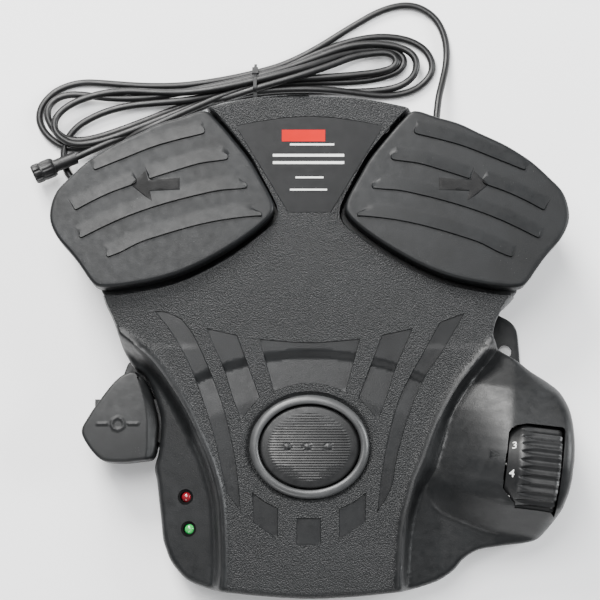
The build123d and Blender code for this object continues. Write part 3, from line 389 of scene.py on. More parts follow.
def field(name, outline, roof, z0, grid=2.5, edge=1.5, lines=(), gap=0.7, mats=None, fmat=None, rings=(0.06, 0.25, 0.55, 1.0),
          edge_fn=None, smooth=38.0):
    """Closed solid under a height field. roof(q) gives the height at plan points, and the rim is rounded by radius edge."""
    base = outline
    segs = []
    pts = []

    def put(line, closed):
        s = len(pts)
        pts.extend([tuple(p) for p in line])
        n = len(line)
        for i in range(n if closed else n - 1):
            segs.append((s + i, s + (i + 1) % n))

    put(base, True)
    if edge > 0:
        for k in rings:
            r = ring_in(base, edge * k)
            ok = inside(r, base)
            dd = dist_line(r, base)[0]
            ok &= dd > edge * k * 0.93
            run = []
            n = len(r)
            for i in range(n):
                if ok[i]:
                    run.append(r[i])
                else:
                    if len(run) > 1:
                        put(np.array(run), False)
                    run = []
            if len(run) == n:
                put(np.array(run), True)
            elif len(run) > 1:
                put(np.array(run), False)
    for ln, closed in lines:
        put(ln, closed)
    lo, hi = base.min(0), base.max(0)
    gx = np.arange(lo[0], hi[0], grid)
    gy = np.arange(lo[1], hi[1], grid * 0.866)
    G = np.array([(x + (grid * 0.5 if j % 2 else 0), y) for j, y in enumerate(gy) for x in gx])
    G = G[inside(G, base)]
    G = G[dist_line(G, base)[0] > edge + gap]
    for ln, closed in lines:
        G = G[dist_line(G, ln, closed)[0] > gap]
    allp = [Vector(p) for p in pts] + [Vector(p) for p in G]
    v2, e2, f2, _, _, _ = delaunay_2d_cdt(allp, segs, [], 0, 1e-4)
    V = np.array([tuple(v) for v in v2])
    T = np.array([tuple(f) for f in f2])
    cen = V[T].mean(axis=1)
    T = T[inside(cen, base)]
    used = np.unique(T)
    remap = -np.ones(len(V), int)
    remap[used] = np.arange(len(used))
    V = V[used]
    T = remap[T]
    d = dist_line(V, base)[0]
    z = roof(V)
    if edge > 0:
        er = edge if edge_fn is None else edge_fn(V) * edge
        er = np.maximum(er, 1e-3)
        dd = np.clip(d, 0, er)
        z = z - (er - np.sqrt(np.maximum(0, er ** 2 - (er - dd) ** 2)))
    n = len(V)
    top = np.column_stack((V * MM, z * MM))
    bot = np.column_stack((V * MM, np.full(n, z0 * MM)))
    a, b, c = V[T[:, 0]], V[T[:, 1]], V[T[:, 2]]
    ccw = ((b - a)[:, 0] * (c - a)[:, 1] - (b - a)[:, 1] * (c - a)[:, 0]) > 0
    T = np.where(ccw[:, None], T, T[:, ::-1])
    faces = [tuple(t) for t in T]
    cnt = {}
    for t in T:
        for i in range(3):
            u, w = int(t[i]), int(t[(i + 1) % 3])
            cnt[(u, w)] = 1
    side = [(u, w) for (u, w) in cnt if (w, u) not in cnt]
    fm = list(fmat(V[T].mean(axis=1))) if fmat is not None else [0] * len(T)
    faces += [tuple(n + x for x in t[::-1]) for t in T]
    faces += [(w, u, n + u, n + w) for u, w in side]
    wall = 1 if (mats and len(mats) > 1) else 0
    fm += [wall] * (len(T) + len(side))
    return new_mesh(name, np.vstack((top, bot)), faces, mats, fm, smooth)


def prism(name, line, z0, z1, mats=None, index=0):
    line = np.array(line, float)
    area = 0.5 * np.sum(line[:, 0] * np.roll(line[:, 1], -1) - np.roll(line[:, 0], -1) * line[:, 1])
    if area < 0:
        line = line[::-1]
    n = len(line)
    z0 = np.broadcast_to(z0, n)
    z1 = np.broadcast_to(z1, n)
    v = [(x * MM, y * MM, z * MM) for (x, y), z in zip(line, z0)] + [(x * MM, y * MM, z * MM) for (x, y), z in zip(line, z1)]
    f = [tuple(range(n))[::-1], tuple(range(n, 2 * n))] + [(i, (i + 1) % n, n + (i + 1) % n, n + i) for i in range(n)]
    return new_mesh(name, v, f, mats, [index] * len(f) if mats else None)


def rod(name, p, axis, r, length, n=40, mats=None, r2=None):
    """Closed cylinder or cone from p along axis."""
    ax = Vector(axis).normalized()
    u = ax.orthogonal().normalized()
    w = ax.cross(u)
    r2 = r if r2 is None else r2
    v = []
    for h, rr in ((0, r), (length, r2)):
        for i in range(n):
            a = 2 * math.pi * i / n
            q = Vector(p) + ax * h + (u * math.cos(a) + w * math.sin(a)) * rr
            v.append(tuple(q * MM))
    f = [tuple(range(n))[::-1], tuple(range(n, 2 * n))] + [(i, (i + 1) % n, n + (i + 1) % n, n + i) for i in range(n)]
    return new_mesh(name, v, f, mats)


def boolean(ob, others, op="DIFFERENCE", solver="MANIFOLD"):
    for o in others:
        m = ob.modifiers.new("b", "BOOLEAN")
        m.operation = op
        m.solver = solver
        m.object = o
        if hasattr(m, "material_mode"):
            m.material_mode = "INDEX"
        bpy.context.view_layer.update()
        dg = bpy.context.evaluated_depsgraph_get()
        me = bpy.data.meshes.new_from_object(ob.evaluated_get(dg))
        before = len(ob.data.polygons)
        ob.modifiers.clear()
        if len(me.polygons) < 4:
            print("BOOLEAN FAILED", ob.name, o.name, op, before)
        old = ob.data
        ob.data = me
        bpy.data.meshes.remove(old)
        bpy.data.objects.remove(o)
    return ob


def lathe(name, profile, n=96, mats=None, smooth=38.0, frame_m=None, closed=True):
    """Revolve (s, r) profile about the local x axis."""
    v, f = [], []
    k = len(profile)
    for i in range(n):
        a = 2 * math.pi * i / n
        for s, r in profile:
            v.append((s * MM, r * math.cos(a) * MM, r * math.sin(a) * MM))
    for i in range(n):
        j = (i + 1) % n
        for q in range(k if closed else k - 1):
            w = (q + 1) % k
            f.append((i * k + q, i * k + w, j * k + w, j * k + q))
    ob = new_mesh(name, v, f, mats, None, smooth)
    if frame_m is not None:
        ob.data.transform(frame_m)
    bm = bmesh.new()
    bm.from_mesh(ob.data)
    bmesh.ops.recalc_face_normals(bm, faces=bm.faces)
    bm.to_mesh(ob.data)
    bm.free()
    finish_mesh(ob, smooth)
    return ob


# ------------------------------------------------------------------ plan outlines (mm), left side first
def mir(p):
    return [(-x, y) for x, y in reversed(p)]


TOE = [(-62.0, 144.2), (-42.0, 148.2), (-30.0, 149.9), (-15.0, 151.0), (0, 151.4),
       (15.0, 151.0), (30.0, 149.9), (42.0, 148.2), (62.0, 144.2)]
SHOULDER_L = [(-125.2, 33.5), (-127.3, 40.5), (-131.3, 46.4), (-135.7, 52.5), (-140.7, 58.7),
              (-145.9, 64.8), (-149.3, 70.2), (-150.9, 75.2), (-150.9, 79.0), (-149.5, 85.0),
              (-147.4, 90.5), (-141.4, 96.6), (-131.2, 106.8), (-124.5, 111.2), (-115.2, 117.2),
              (-100.0, 124.4), (-89.0, 129.7), (-76.8, 133.4), (-68.0, 139.4)]
RIGHT = [(116.4, 23.4), (112.0, 15.4), (110.1, 7.4), (111.2, 3.8),
         (116.0, -1.1), (125.0, -7.6), (132.8, -14.2), (141.6, -20.2), (148.6, -26.2), (152.1, -32.1),
         (154.4, -38.1), (155.5, -44.0), (156.2, -55.9), (155.6, -68.0), (154.8, -73.7), (154.1, -79.6),
         (152.8, -85.5), (150.9, -91.3), (148.4, -97.2), (145.0, -103.1), (141.0, -108.9),
         (136.0, -114.2), (130.0, -116.2), (114.2, -118.2), (101.0, -120.5), (96.2, -122.9),
         (91.4, -126.5), (86.5, -132.4), (78.0, -138.3), (68.0, -142.0)]
HEEL = [(57.1, -144.8), (40.0, -147.0), (24.2, -148.4), (0, -149.4), (-24.2, -148.2), (-40.0, -146.8),
        (-55.0, -144.9)]
LEFT = [(-65.5, -141.9), (-73.3, -138.3), (-79.3, -132.4), (-83.6, -126.5), (-86.0, -120.5),
        (-87.9, -114.6), (-89.2, -102.7), (-90.6, -90.7), (-91.9, -78.7), (-93.2, -72.7),
        (-92.5, -68.0), (-91.1, -63.5), (-90.0, -54.8), (-89.5, -43.2), (-92.0, -32.6),
        (-95.8, -22.2), (-100.3, -15.2), (-106.0, -11.5), (-110.3, -4.8), (-112.8, 0.1),
        (-114.8, 7.4), (-116.6, 12.3), (-119.2, 18.5), (-122.3, 24.6)]
GAP_L = [(-124.9, 31.9), (-113.4, 32.2), (-101.3, 34.0), (-88.6, 36.4), (-76.5, 40.0), (-65.1, 45.0),
         (-53.0, 51.4), (-40.4, 59.0), (-29.5, 67.1), (-21.5, 73.7), (-19.3, 77.9), (-19.5, 82.9),
         (-21.0, 87.0), (-29.3, 102.9), (-34.9, 113.0), (-45.2, 126.2), (-54.4, 136.9)]
CREST_L = [(-52.8, -146.0), (-52.0, -138.0), (-51.7, -132.3), (-51.8, -117.7), (-52.4, -103.0), (-53.4, -91.3),
           (-56.2, -78.9), (-60.4, -66.0), (-66.0, -54.0), (-72.5, -40.2), (-81.6, -25.3),
           (-92.5, -10.3), (-108.9, 4.8), (-114.0, 8.6)]
CREST_R = [(53.2, -146.0), (53.9, -130.0), (55.2, -112.4), (57.0, -100.1), (59.5, -91.3), (61.9, -82.4),
           (68.0, -67.6), (73.5, -52.8), (80.2, -37.9), (89.4, -22.3), (97.2, -12.7), (105.2, -3.0), (111.5, 5.0)]
WELLS = [(-62.0, 144.2), (62.0, 144.2)] + mir(SHOULDER_L) + [(122.5, 33.0), (118.0, 26.0), (-118.0, 26.0)] + SHOULDER_L
MAIN = TOE + mir(GAP_L) + RIGHT + HEEL + LEFT + GAP_L
POCKETS = [
    [(-30.2, 4.3), (-0.4, 2.3), (30.2, 4.3), (21.5, -27.5), (12.0, -23.7), (-0.4, -21.9), (-12.0, -23.7), (-21.5, -27.0)],
    [(-61.9, 10.8), (-43.3, 6.7), (-29.6, -30.2), (-41.0, -44.0), (-46.3, -29.6), (-51.1, -14.2), (-58.3, 2.5)],
    [(61.9, 10.8), (43.3, 6.7), (29.0, -30.5), (41.0, -44.0), (46.3, -29.6), (51.1, -14.2), (58.3, 2.5)],
    [(-93.0, 21.0), (-85.2, 20.4), (-76.3, 16.2), (-69.6, 7.3), (-54.0, -28.4), (-48.0, -49.2), (-43.8, -69.3),
     (-40.8, -98.2), (-49.7, -86.4), (-53.3, -69.3), (-57.5, -51.6), (-64.7, -29.6), (-72.0, -10.6), (-82.8, 8.5)],
    [(93.0, 20.0), (80.3, -1.7), (67.7, -20.7), (58.7, -42.7), (52.0, -66.9), (48.4, -84.7), (40.1, -98.8),
     (43.1, -74.0), (47.3, -51.6), (54.5, -28.4), (66.0, -7.0), (78.0, 14.5)],
    [(-34.2, -86.4), (-27.1, -91.7), (-18.8, -95.9), (-18.8, -114.7), (-33.6, -104.1)],
    [(-7.8, -101.8), (6.8, -101.8), (6.8, -117.7), (-7.8, -117.7)],
    [(33.8, -86.4), (26.8, -91.7), (17.5, -96.2), (17.5, -114.7), (33.2, -104.1)],
]
LABEL = [(-44.6, 132.3), (-29.8, 135.2), (-14.7, 137.4), (0, 138.2), (14.7, 137.4), (29.8, 135.2),
         (44.6, 132.3), (12.9, 80.0), (-12.9, 80.0)]
S_MAIN = smooth_line(MAIN, 2.2)
S_CL = smooth_line(CREST_L, 2.5, False)
S_CR = smooth_line(CREST_R, 2.5, False)
S_POCK = [smooth_line(p, 2.0, True, 24.0) for p in POCKETS]
DECK_IN = np.vstack((smooth_line(TOE, 4, False), smooth_line(mir(GAP_L), 3, False), arr([(120.8, 30.0), (116.4, 23.4), (112.0, 15.4)]),
                     S_CR[::-1], arr([(24.2, -149.4), (0, -150.4), (-24.2, -149.4)]), S_CL,
                     arr([(-116.6, 12.3), (-119.2, 18.5), (-122.3, 24.6)]), smooth_line(GAP_L, 3, False)))
ASL = math.atan(0.0805)
DC = (132.4, -72.0, 36.5)
CS, SN = math.cos(math.radians(7)), math.sin(math.radians(7))
HUMP_FULL = arr([(90, 25.5), (78, 26), (45, 49), (38, 52.4), (30, 55.7), (22, 58.3), (14, 60.2), (6, 61.2), (0, 61.2), (-6, 60.2),
                 (-13, 58.9), (-23, 55.6), (-41, 33), (-75, 27), (-95, 26)])
HUMP_LOW = arr([(80, 25.5), (62, 31), (46, 36), (38, 37.2), (30, 38), (22, 38.3), (14, 38.4), (6, 38.4), (0, 38.3), (-4, 38.1),
                (-7.4, 37.8), (-12, 36.4), (-28, 29), (-60, 27.5), (-80, 26)])
VALLEY_T = [-200.0, -28.3, -7.4, 10.0, 29.6, 45.0, 56.9, 90.0]
VALLEY_S = [-65.9, -65.9, -56.2, -53.4, -50.8, -46.6, -40.4, -22.0]


def deck_z(y):
    return 34.0 + 0.0805 * (y + 148.0)


def plane3(p1, p2, p3):
    a, b, c = arr(p1), arr(p2), arr(p3)
    n = np.cross(b - a, c - a)
    return lambda q: a[2] - (n[0] * (q[:, 0] - a[0]) + n[1] * (q[:, 1] - a[1])) / n[2]


wing_l = plane3((-60, -60, 35.5), (-90.6, -90.7, 28.0), (-52, -132, 30.0))
wing_r = plane3((60, -92, 33.0), (100, -120, 26.5), (54, -132, 30.0))


def st(q):
    dx, dy = q[:, 0] - DC[0], q[:, 1] - DC[1]
    return dx * CS - dy * SN, dx * SN + dy * CS


def xy_of(s, t):
    return DC[0] + s * CS + t * SN, DC[1] - s * SN + t * CS


def valley(t):
    return np.interp(t, VALLEY_T, VALLEY_S)


def hump_z(q):
    s, t = st(q)
    sv = valley(t)
    u = np.clip((s - sv) / (-16.0 - sv), 0, 1)
    w = 1 - (1 - u) ** 1.3
    out = np.full(len(q), 25.5)
    tt = HUMP_LOW[:, 0][None] * (1 - w[:, None]) + HUMP_FULL[:, 0][None] * w[:, None]
    zz = HUMP_LOW[:, 1][None] * (1 - w[:, None]) + HUMP_FULL[:, 1][None] * w[:, None]
    for i in range(len(HUMP_FULL) - 1):
        m = (t <= tt[:, i]) & (t > tt[:, i + 1])
        k = (t - tt[:, i + 1]) / np.maximum(1e-6, tt[:, i] - tt[:, i + 1])
        out[m] = (zz[:, i + 1] + k * (zz[:, i] - zz[:, i + 1]))[m]
    return out


def soft(fn, r):
    offs = [(0, 0)] + [(r * math.cos(a), r * math.sin(a)) for a in np.linspace(0, 2 * math.pi, 8, endpoint=False)]

    def g(q):
        return sum(fn(q + arr(o)) for o in offs) / len(offs)
    return g


LIP_IN, LIP_OUT = 5.5, 6.0


def crest(q):
    dl = dist_line(q, S_CL, False)[0]
    dr = dist_line(q, S_CR, False)[0]
    ins = inside(q, DECK_IN)
    left = q[:, 0] < 0
    d = np.where(left, dl, dr)
    return np.where(ins, -d, d), left


S_VAL = np.array([xy_of(valley(t), t) for t in np.arange(-28.3, 57.0, 2.5)])


def base_roof(q):
    """Deck, crests, wings and the speed dial hump, without the small pockets."""
    d, left = crest(q)
    zd = deck_z(q[:, 1]) - 0.00035 * np.maximum(0, np.abs(q[:, 0]) - 45) ** 2 * (q[:, 1] > 0)
    lo = np.where(left, wing_l(q), np.maximum(hump_z(q), np.where(q[:, 1] < -78, wing_r(q), 25.5)))
    lo = np.maximum(lo, 24.0)
    s, t = st(q)
    dv = dist_line(q, S_VAL, False)[0]
    before = (~left) & (s < valley(t)) & (t > -28.3)
    fade = np.where(left, sstep(14, -2, q[:, 1]), sstep(14, -6, q[:, 1])) * 1.0
    lip = 2.3 * fade
    top = zd + lip * sstep(-LIP_IN, -0.6, d)
    wo = np.where(left, LIP_OUT, np.where(before, np.maximum(d + dv, 5.5), 5.5))
    k = np.clip((d - 0.4) / np.maximum(0.1, wo - 0.4), 0, 1)
    k = k * k * (3 - 2 * k) * 0.45 + k * 0.55
    return np.where(d <= 0.4, top, (zd + lip) * (1 - k) + lo * k)


base_soft = soft(base_roof, 0.9)


def pocket_depth(q):
    dep = np.zeros(len(q))
    rho = np.hypot(q[:, 0], q[:, 1] + 165.2)
    for i, p in enumerate(S_POCK):
        ins = inside(q, p)
        d = dist_line(q, p)[0]
        k = np.where(ins, np.clip(d / 0.35, 0, 1), 0)
        deep = np.full(len(q), 0.8)
        if i < 5:
            step = np.where(rho >= 163.0, 0.6, np.where(rho >= 158.6, 0.6 + (163.0 - rho) / 4.4 * 2.0,
                            0.8 + 1.8 * np.clip(1 - (158.6 - rho) / 22.0, 0, 1)))
            deep = step
        dep = np.maximum(dep, k * deep)
    return dep


def main_roof(q):
    z = base_soft(q) - pocket_depth(q)
    de = (np.hypot(q[:, 0] / 35.8, (q[:, 1] + 59.8) / 31.0) - 1) * 33.4
    z = z - 1.7 * (1 - np.clip(de / 2.3, 0, 1))
    lab = inside(q, arr(LABEL))
    dl = dist_line(q, arr(LABEL))[0]
    z = z - np.where(lab, 0.45 * np.clip(dl / 0.3, 0, 1), 0)
    # small raised pointer beside the dial window
    s, t = st(q)
    tri = arr([(-27.6, 6.6), (-21.8, 3.6), (-27.6, 0.6)])
    qq = np.column_stack((s, t))
    z = z + np.where(inside(qq, tri), 0.45 * np.clip(dist_line(qq, tri)[0] / 0.5, 0, 1), 0)
    return z


def edge_scale(q):
    """Rim radius in mm at each plan point."""
    heel = sstep(-112, -132, q[:, 1])
    wing = sstep(10, -12, q[:, 1]) * (q[:, 0] < -48)
    hump = sstep(104, 122, q[:, 0]) * sstep(-6, -26, q[:, 1]) * sstep(-122, -104, q[:, 1])
    gap = sstep(29, 34, q[:, 1]) * (np.abs(q[:, 0]) < 119) * (q[:, 1] < 136)
    return 1.8 - 0.9 * gap + 1.6 * np.maximum(heel, wing) + 4.6 * hump


def ell_pts(a, b, n=96):
    t = np.linspace(0, 2 * math.pi, n, endpoint=False)
    return np.column_stack((a * np.cos(t), b * np.sin(t)))


def main_lines():
    out = []
    for p in S_POCK:
        out.append((p, True))
        r = ring_in(p, 0.36)
        out.append((r, True))
    for rho in (163.0, 158.6):
        for i in range(5):
            a = np.linspace(math.radians(50), math.radians(130), 400)
            c = np.column_stack((rho * np.cos(a), -165.2 + rho * np.sin(a)))
            ins = inside(c, ring_in(S_POCK[i], 0.5))
            idx = np.where(ins)[0]
            if len(idx) > 2:
                for grp in np.split(idx, np.where(np.diff(idx) > 1)[0] + 1):
                    if len(grp) > 2:
                        out.append((c[grp], False))
    tri = [(-27.6, 6.6), (-21.8, 3.6), (-27.6, 0.6)]
    tp = arr([xy_of(*p) for p in tri])
    out.append((tp, True))
    cx = tp.mean(axis=0)
    out.append((cx + (tp - cx) * 0.62, True))
    for k in (0.4, 1.2, 2.3):
        c = ell_pts(35.8 + k, 31.0 + k * 0.93, 120)
        out.append((c + arr([(0, -59.8)]), True))
    for line, sgn in ((S_CL, 1), (S_CR, 1)):
        g = np.gradient(line, axis=0)
        g /= np.linalg.norm(g, axis=1)[:, None]
        nrm = np.column_stack((-g[:, 1], g[:, 0]))
        for d in (-5.5, -3.8, -2.4, -1.2, 0.0, 1.2, 2.4, 3.8, 5.5):
            run = line + nrm * d
            ok = inside(run, S_MAIN) & (dist_line(run, S_MAIN)[0] > 1.2) & (np.abs(dist_line(run, line, False)[0] - abs(d)) < 0.15)
            idx = np.where(ok)[0]
            for grp in np.split(idx, np.where(np.diff(idx) > 1)[0] + 1):
                if len(grp) > 2:
                    out.append((run[grp], False))
    vv = S_VAL[(dist_line(S_VAL, S_MAIN)[0] > 1.2) & inside(S_VAL, S_MAIN)]
    out.append((vv, False))
    for i in (2, 10, 11, 12):
        ln = []
        for w_ in np.linspace(0, 1, 18):
            t_ = HUMP_LOW[i, 0] * (1 - w_) + HUMP_FULL[i, 0] * w_
            u_ = 1 - (1 - w_) ** (1 / 1.3)
            sv = float(valley(t_))
            ln.append(xy_of(sv + u_ * (-16.0 - sv), t_))
        for s_ in np.arange(-13.0, 32.0, 3.0):
            ln.append(xy_of(s_, HUMP_FULL[i, 0]))
        ln = np.array(ln)
        ok = inside(ln, S_MAIN) & (dist_line(ln, S_MAIN)[0] > 1.4) & (dist_line(ln, S_CR, False)[0] > 1.0)
        idx = np.where(ok)[0]
        for grp in np.split(idx, np.where(np.diff(idx) > 1)[0] + 1):
            if len(grp) > 2:
                out.append((ln[grp], False))
    L = arr(LABEL)
    out.append((L, True))
    out.append((ring_in(L, 0.3), True))
    return out


def main_mat(c):
    d, left = crest(c)
    m = (d > -3.2).astype(int)
    m[pocket_depth(c) > 0.02] = 1
    m[inside(c, arr(LABEL))] = 1
    return m


GR = 1.7
HM = [M_GRAIN, M_SATIN]
housing = field("housing_shell", S_MAIN, main_roof, 1.5, grid=GR, edge=1.0, lines=main_lines(), gap=0.55, mats=HM,
                fmat=main_mat, rings=(0.15, 0.6, 1.2, 1.9, 2.8, 3.8, 5.2, 6.6), edge_fn=edge_scale, smooth=34)
print("main", len(housing.data.polygons))
S_WELL = smooth_line(WELLS, 2.5)
wells = field("wells", S_WELL, lambda q: np.full(len(q), 38.0), 1.5, grid=7.0, edge=1.6, mats=HM, fmat=lambda c: [1] * len(c))
boolean(housing, [wells], "UNION")
print("wells", len(housing.data.polygons))

# hollow inside
S_CAV = ring_in(smooth_line(MAIN, 6.0), 2.6)
CAV_OFF = [(0, 0)] + [(r * math.cos(a), r * math.sin(a)) for r in (2.0, 4.0) for a in np.linspace(0, 2 * math.pi, 8, endpoint=False)]


def cav_roof(q):
    return np.min([base_roof(q + arr(o)) for o in CAV_OFF], axis=0) - 3.0


cav1 = field("cav1", smooth_line(S_CAV[::1], 6.0), cav_roof, 0.5, grid=5.0, edge=2.0)
cav2 = field("cav2", ring_in(smooth_line(WELLS, 7.0), 2.6), lambda q: np.full(len(q), 35.5), 0.5, grid=14.0, edge=1.0)
boolean(housing, [cav1, cav2], "DIFFERENCE")
print("hollow", len(housing.data.polygons))

# round button cup, screw bosses, cable boss, mounting ears, hinge lugs
BTN_M = Matrix.Translation(Vector((0, -59.8, deck_z(-59.8))) * MM) @ Matrix.Rotation(ASL, 4, "X")


ell = ell_pts


def local(ob, m):
    ob.data.transform(m)
    return ob


cup = local(prism("cup", ell(33.3, 28.3), -11.0, -2.2, HM, 1), BTN_M)
adds = [cup]
for x, y in [(-62, -124), (62, -124), (-104, 18), (104, 18), (-44, 132), (44, 132)]:
    zt = float(base_roof(arr([(x, y)]))[0]) - 1.0
    adds.append(rod("boss", (x, y, 4.6), (0, 0, 1), 4.5, zt - 4.6, 24, HM))
EAR_A = [(112.6, 14.6), (117.6, 24.2), (124.9, 20.1), (128.6, 15.1), (129.9, 5.7), (130.9, -10.5),
         (118.0, -4.0), (112.0, 2.4), (109.5, 7.4)]
EAR_B = [(-110.6, -4.6), (-112.0, -6.0), (-114.6, -12.5), (-117.0, -24.0), (-112.5, -36.0),
         (-111.0, -48.0), (-110.0, -56.0), (-89.4, -58.0), (-88.8, -43.2), (-91.2, -32.6),
         (-95.0, -22.2), (-99.6, -14.6), (-105.4, -10.8), (-109.4, -4.8)]
for nm, e in (("ear_r", EAR_A), ("ear_l", EAR_B)):
    adds.append(field(nm, smooth_line(e, 2.0, True, 30), lambda q: np.full(len(q), 4.5), 1.5, grid=4.0, edge=0.8, mats=HM,
                      fmat=lambda c: [1] * len(c)))
HMID, HD, HN, HZ = (-102.3, 110.75), (-0.8616, -0.5078), (0.5078, -0.8616), 48.5


def hblock(name, off, half, z0, z1, r0, r1, side=1):
    cx, cy = HMID[0] + off * HD[0], HMID[1] + off * HD[1]
    p = [(cx + a * HD[0] + b * HN[0], cy + a * HD[1] + b * HN[1]) for a, b in
         ((-half, r0), (half, r0), (half, r1), (-half, r1))]
    p = [(side * x, y) for x, y in p]
    return prism(name, p, z0, z1, HM, 1)


for side in (1, -1):
    for off in (-34, 34):
        adds.append(hblock("lug", off, 3.0, 37.0, HZ + 4.0, -4.5, 4.5, side))
adds.append(rod("gboss", (79.5, 127.8, 16.0), (0, 1, 0), 9.0, 4.2, 40, HM))
boolean(housing, adds, "UNION")
cuts = [local(prism("bopen", ell(30.9, 25.9), -9.0, 8.0, HM, 1), BTN_M)]
o = BTN_M @ Vector((0, 0, -12.5 * MM))
cuts.append(rod("bstem", tuple(o / MM), (0, -math.sin(ASL), math.cos(ASL)), 5.3, 5.0, 32, HM))
WIN = [(-17.9, -15.0), (-17.9, 17.5), (-16.6, 20.4), (-14.0, 22.4), (-7.5, 24.4), (13.2, 24.6), (14.6, 23.8), (15.2, 22.0), (15.2, -14.0),
       (14.6, -22.0), (13.8, -24.4), (11.8, -25.8), (-6.8, -25.0), (-11.2, -21.8), (-16.4, -16.7)]
# room round the thumbwheel
wheel_room = lathe("wheel_room", [(-18.3, 8.0), (15.0, 8.0), (15.0, 30.1), (-9.3, 30.1), (-18.3, 24.6)], 96, HM, 40,
                   Matrix.Translation(Vector(DC) * MM) @ Matrix.Rotation(-math.radians(7), 4, "Z"))
cuts.append(wheel_room)
cuts.append(prism("window", [xy_of(*p) for p in WIN], 34.0, 80.0, HM, 1))
for x, y in ((-74.3, -89.1), (-72.4, -108.1)):
    cuts.append(rod("ledh", (x, y, 18), (0, 0, 1), 4.65, 30, 40, HM))
cuts.append(prism("kslot", [(-95.5, -58.0), (-86.5, -58.0), (-86.5, -28.0), (-95.5, -28.0)], 14.0, 28.0, HM, 1))
cuts.append(rod("entry", (79.5, 118, 16), (0, 1, 0), 5.05, 34, 40, HM))
cuts.append(rod("spot", (79.5, 132.0, 16), (0, 1, 0), 8.0, 18, 48, HM))
PL = (HMID[0] + 44.5 * HN[0] + 18 * HD[0], HMID[1] + 44.5 * HN[1] + 18 * HD[1])
for sx in (1, -1):
    cuts.append(rod("plh", (sx * PL[0], PL[1], 33), (0, 0, 1), 4.5, 8, 32, HM))
    ctr = (sx * (HMID[0] - 60 * HD[0]), HMID[1] - 60 * HD[1], HZ)
    cuts.append(rod("pinh", ctr, (sx * HD[0], HD[1], 0), 2.0, 120, 24, HM))
for x, y in ((121.4, 1.5), (-113.5, -34.0)):
    cuts.append(rod("earh", (x, y, 0), (0, 0, 1), 4.0, 8, 48, HM))
for x, y in [(-62, -124), (62, -124), (-104, 18), (104, 18), (-44, 132), (44, 132)]:
    cuts.append(rod("pilot", (x, y, 4.0), (0, 0, 1), 1.55, 15, 20, HM))
boolean(housing, cuts, "DIFFERENCE")
finish_mesh(housing, 34)
housing.name = "housing_shell"
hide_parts("top_housing")
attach(housing, "housing")
print("housing done", len(housing.data.polygons))

# ------------------------------------------------------------------ pedals
PEDAL_L = [(-62.5, 141.4), (-77.9, 137.3), (-90.4, 133.6), (-101.8, 128.1), (-117.3, 120.7),
           (-126.8, 114.9), (-134.5, 109.3), (-144.5, 99.8), (-151.0, 92.8), (-153.9, 86.5),
           (-155.3, 79.2), (-155.0, 74.0), (-152.9, 68.3), (-149.2, 62.3), (-143.8, 56.2),
           (-138.9, 50.2), (-134.6, 44.2), (-130.4, 38.2), (-126.8, 34.8), (-122.0, 34.0),
           (-112.0, 34.6), (-100.7, 36.4), (-89.0, 38.9), (-77.6, 42.4), (-65.2, 47.8),
           (-53.3, 54.3), (-40.8, 62.2), (-30.1, 70.2), (-23.6, 76.4), (-21.3, 80.6),
           (-22.0, 85.9), (-30.2, 101.7), (-35.9, 111.5), (-46.1, 124.6), (-55.6, 135.6)]
RIBS = [
    [(-129, 104.2), (-111.2, 111.5), (-92.7, 118.9), (-78.3, 123.1), (-65.7, 126.2), (-62.1, 127.2)],
    [(-140, 79.8), (-127.6, 86.5), (-116.9, 91.4), (-106.0, 95.4), (-102.6, 97.0)],
    [(-96.0, 98.9), (-83.5, 103), (-65.6, 108.4), (-50, 110.9), (-47.7, 112.1)],
    [(-136.7, 62.9), (-113.1, 74.4), (-89.9, 82.9), (-65.5, 89.5), (-53.5, 92), (-38, 93.8), (-36.2, 95.6)],
    [(-120.5, 51.4), (-112.8, 54.4), (-101, 60.4), (-88.5, 64.7), (-76.6, 68.3), (-65.3, 71.3), (-53.4, 73.8), (-40.9, 75.6),
     (-28.4, 76.8), (-27.6, 78.6)],
]
ARROW = arr([(-106.8, 95.6), (-98.5, 104.8), (-96.6, 98.7), (-77.5, 100.5), (-77.4, 92.6), (-95.4, 92.0), (-94.1, 85.3)])
S_RIB = [smooth_line(r, 2.0, False, 60) for r in RIBS]
S_PED = smooth_line(PEDAL_L, 2.0, True, 60)
RIB_W, RIB_H = 8.6, 1.6


def strip_of(line, r_in=2.6, r_out=1.6):
    """Plan outline of one raised strip: its stepped edge is the line, the other edge lies on the toe side."""
    g = np.gradient(line, axis=0)
    g /= np.linalg.norm(g, axis=1)[:, None]
    n = np.column_stack((-g[:, 1], g[:, 0]))
    u = np.concatenate(([0], np.cumsum(np.linalg.norm(np.diff(line, axis=0), axis=1))))
    keep = (u > r_out) & (u < u[-1] - r_in)
    pts = []
    for a in np.linspace(0, 1, 6):
        q = (1 - a) ** 2 * (line[0] + n[0] * r_out) + 2 * a * (1 - a) * line[0] + a * a * (line[0] + g[0] * r_out)
        pts.append(q)
    pts += list(line[keep][1:-1])
    for a in np.linspace(0, 1, 7):
        q = (1 - a) ** 2 * (line[-1] - g[-1] * r_in) + 2 * a * (1 - a) * line[-1] + a * a * (line[-1] + n[-1] * r_in)
        pts.append(q)
    far = line + n * RIB_W
    pts += list(far[::-1])
    return np.array(pts)


STRIPS = [strip_of(r) for r in S_RIB]


def rib_h(q):
    h = np.zeros(len(q))
    for r, p in zip(S_RIB, STRIPS):
        ins = inside(q, p)
        if not ins.any():
            continue
        d = dist_line(q, r, False)[0]
        b = dist_line(q, p)[0]
        h = np.maximum(h, np.where(ins, RIB_H * np.clip(1 - d / RIB_W, 0, 1) ** 1.15 * np.clip(b / 0.45, 0, 1), 0))
    return h


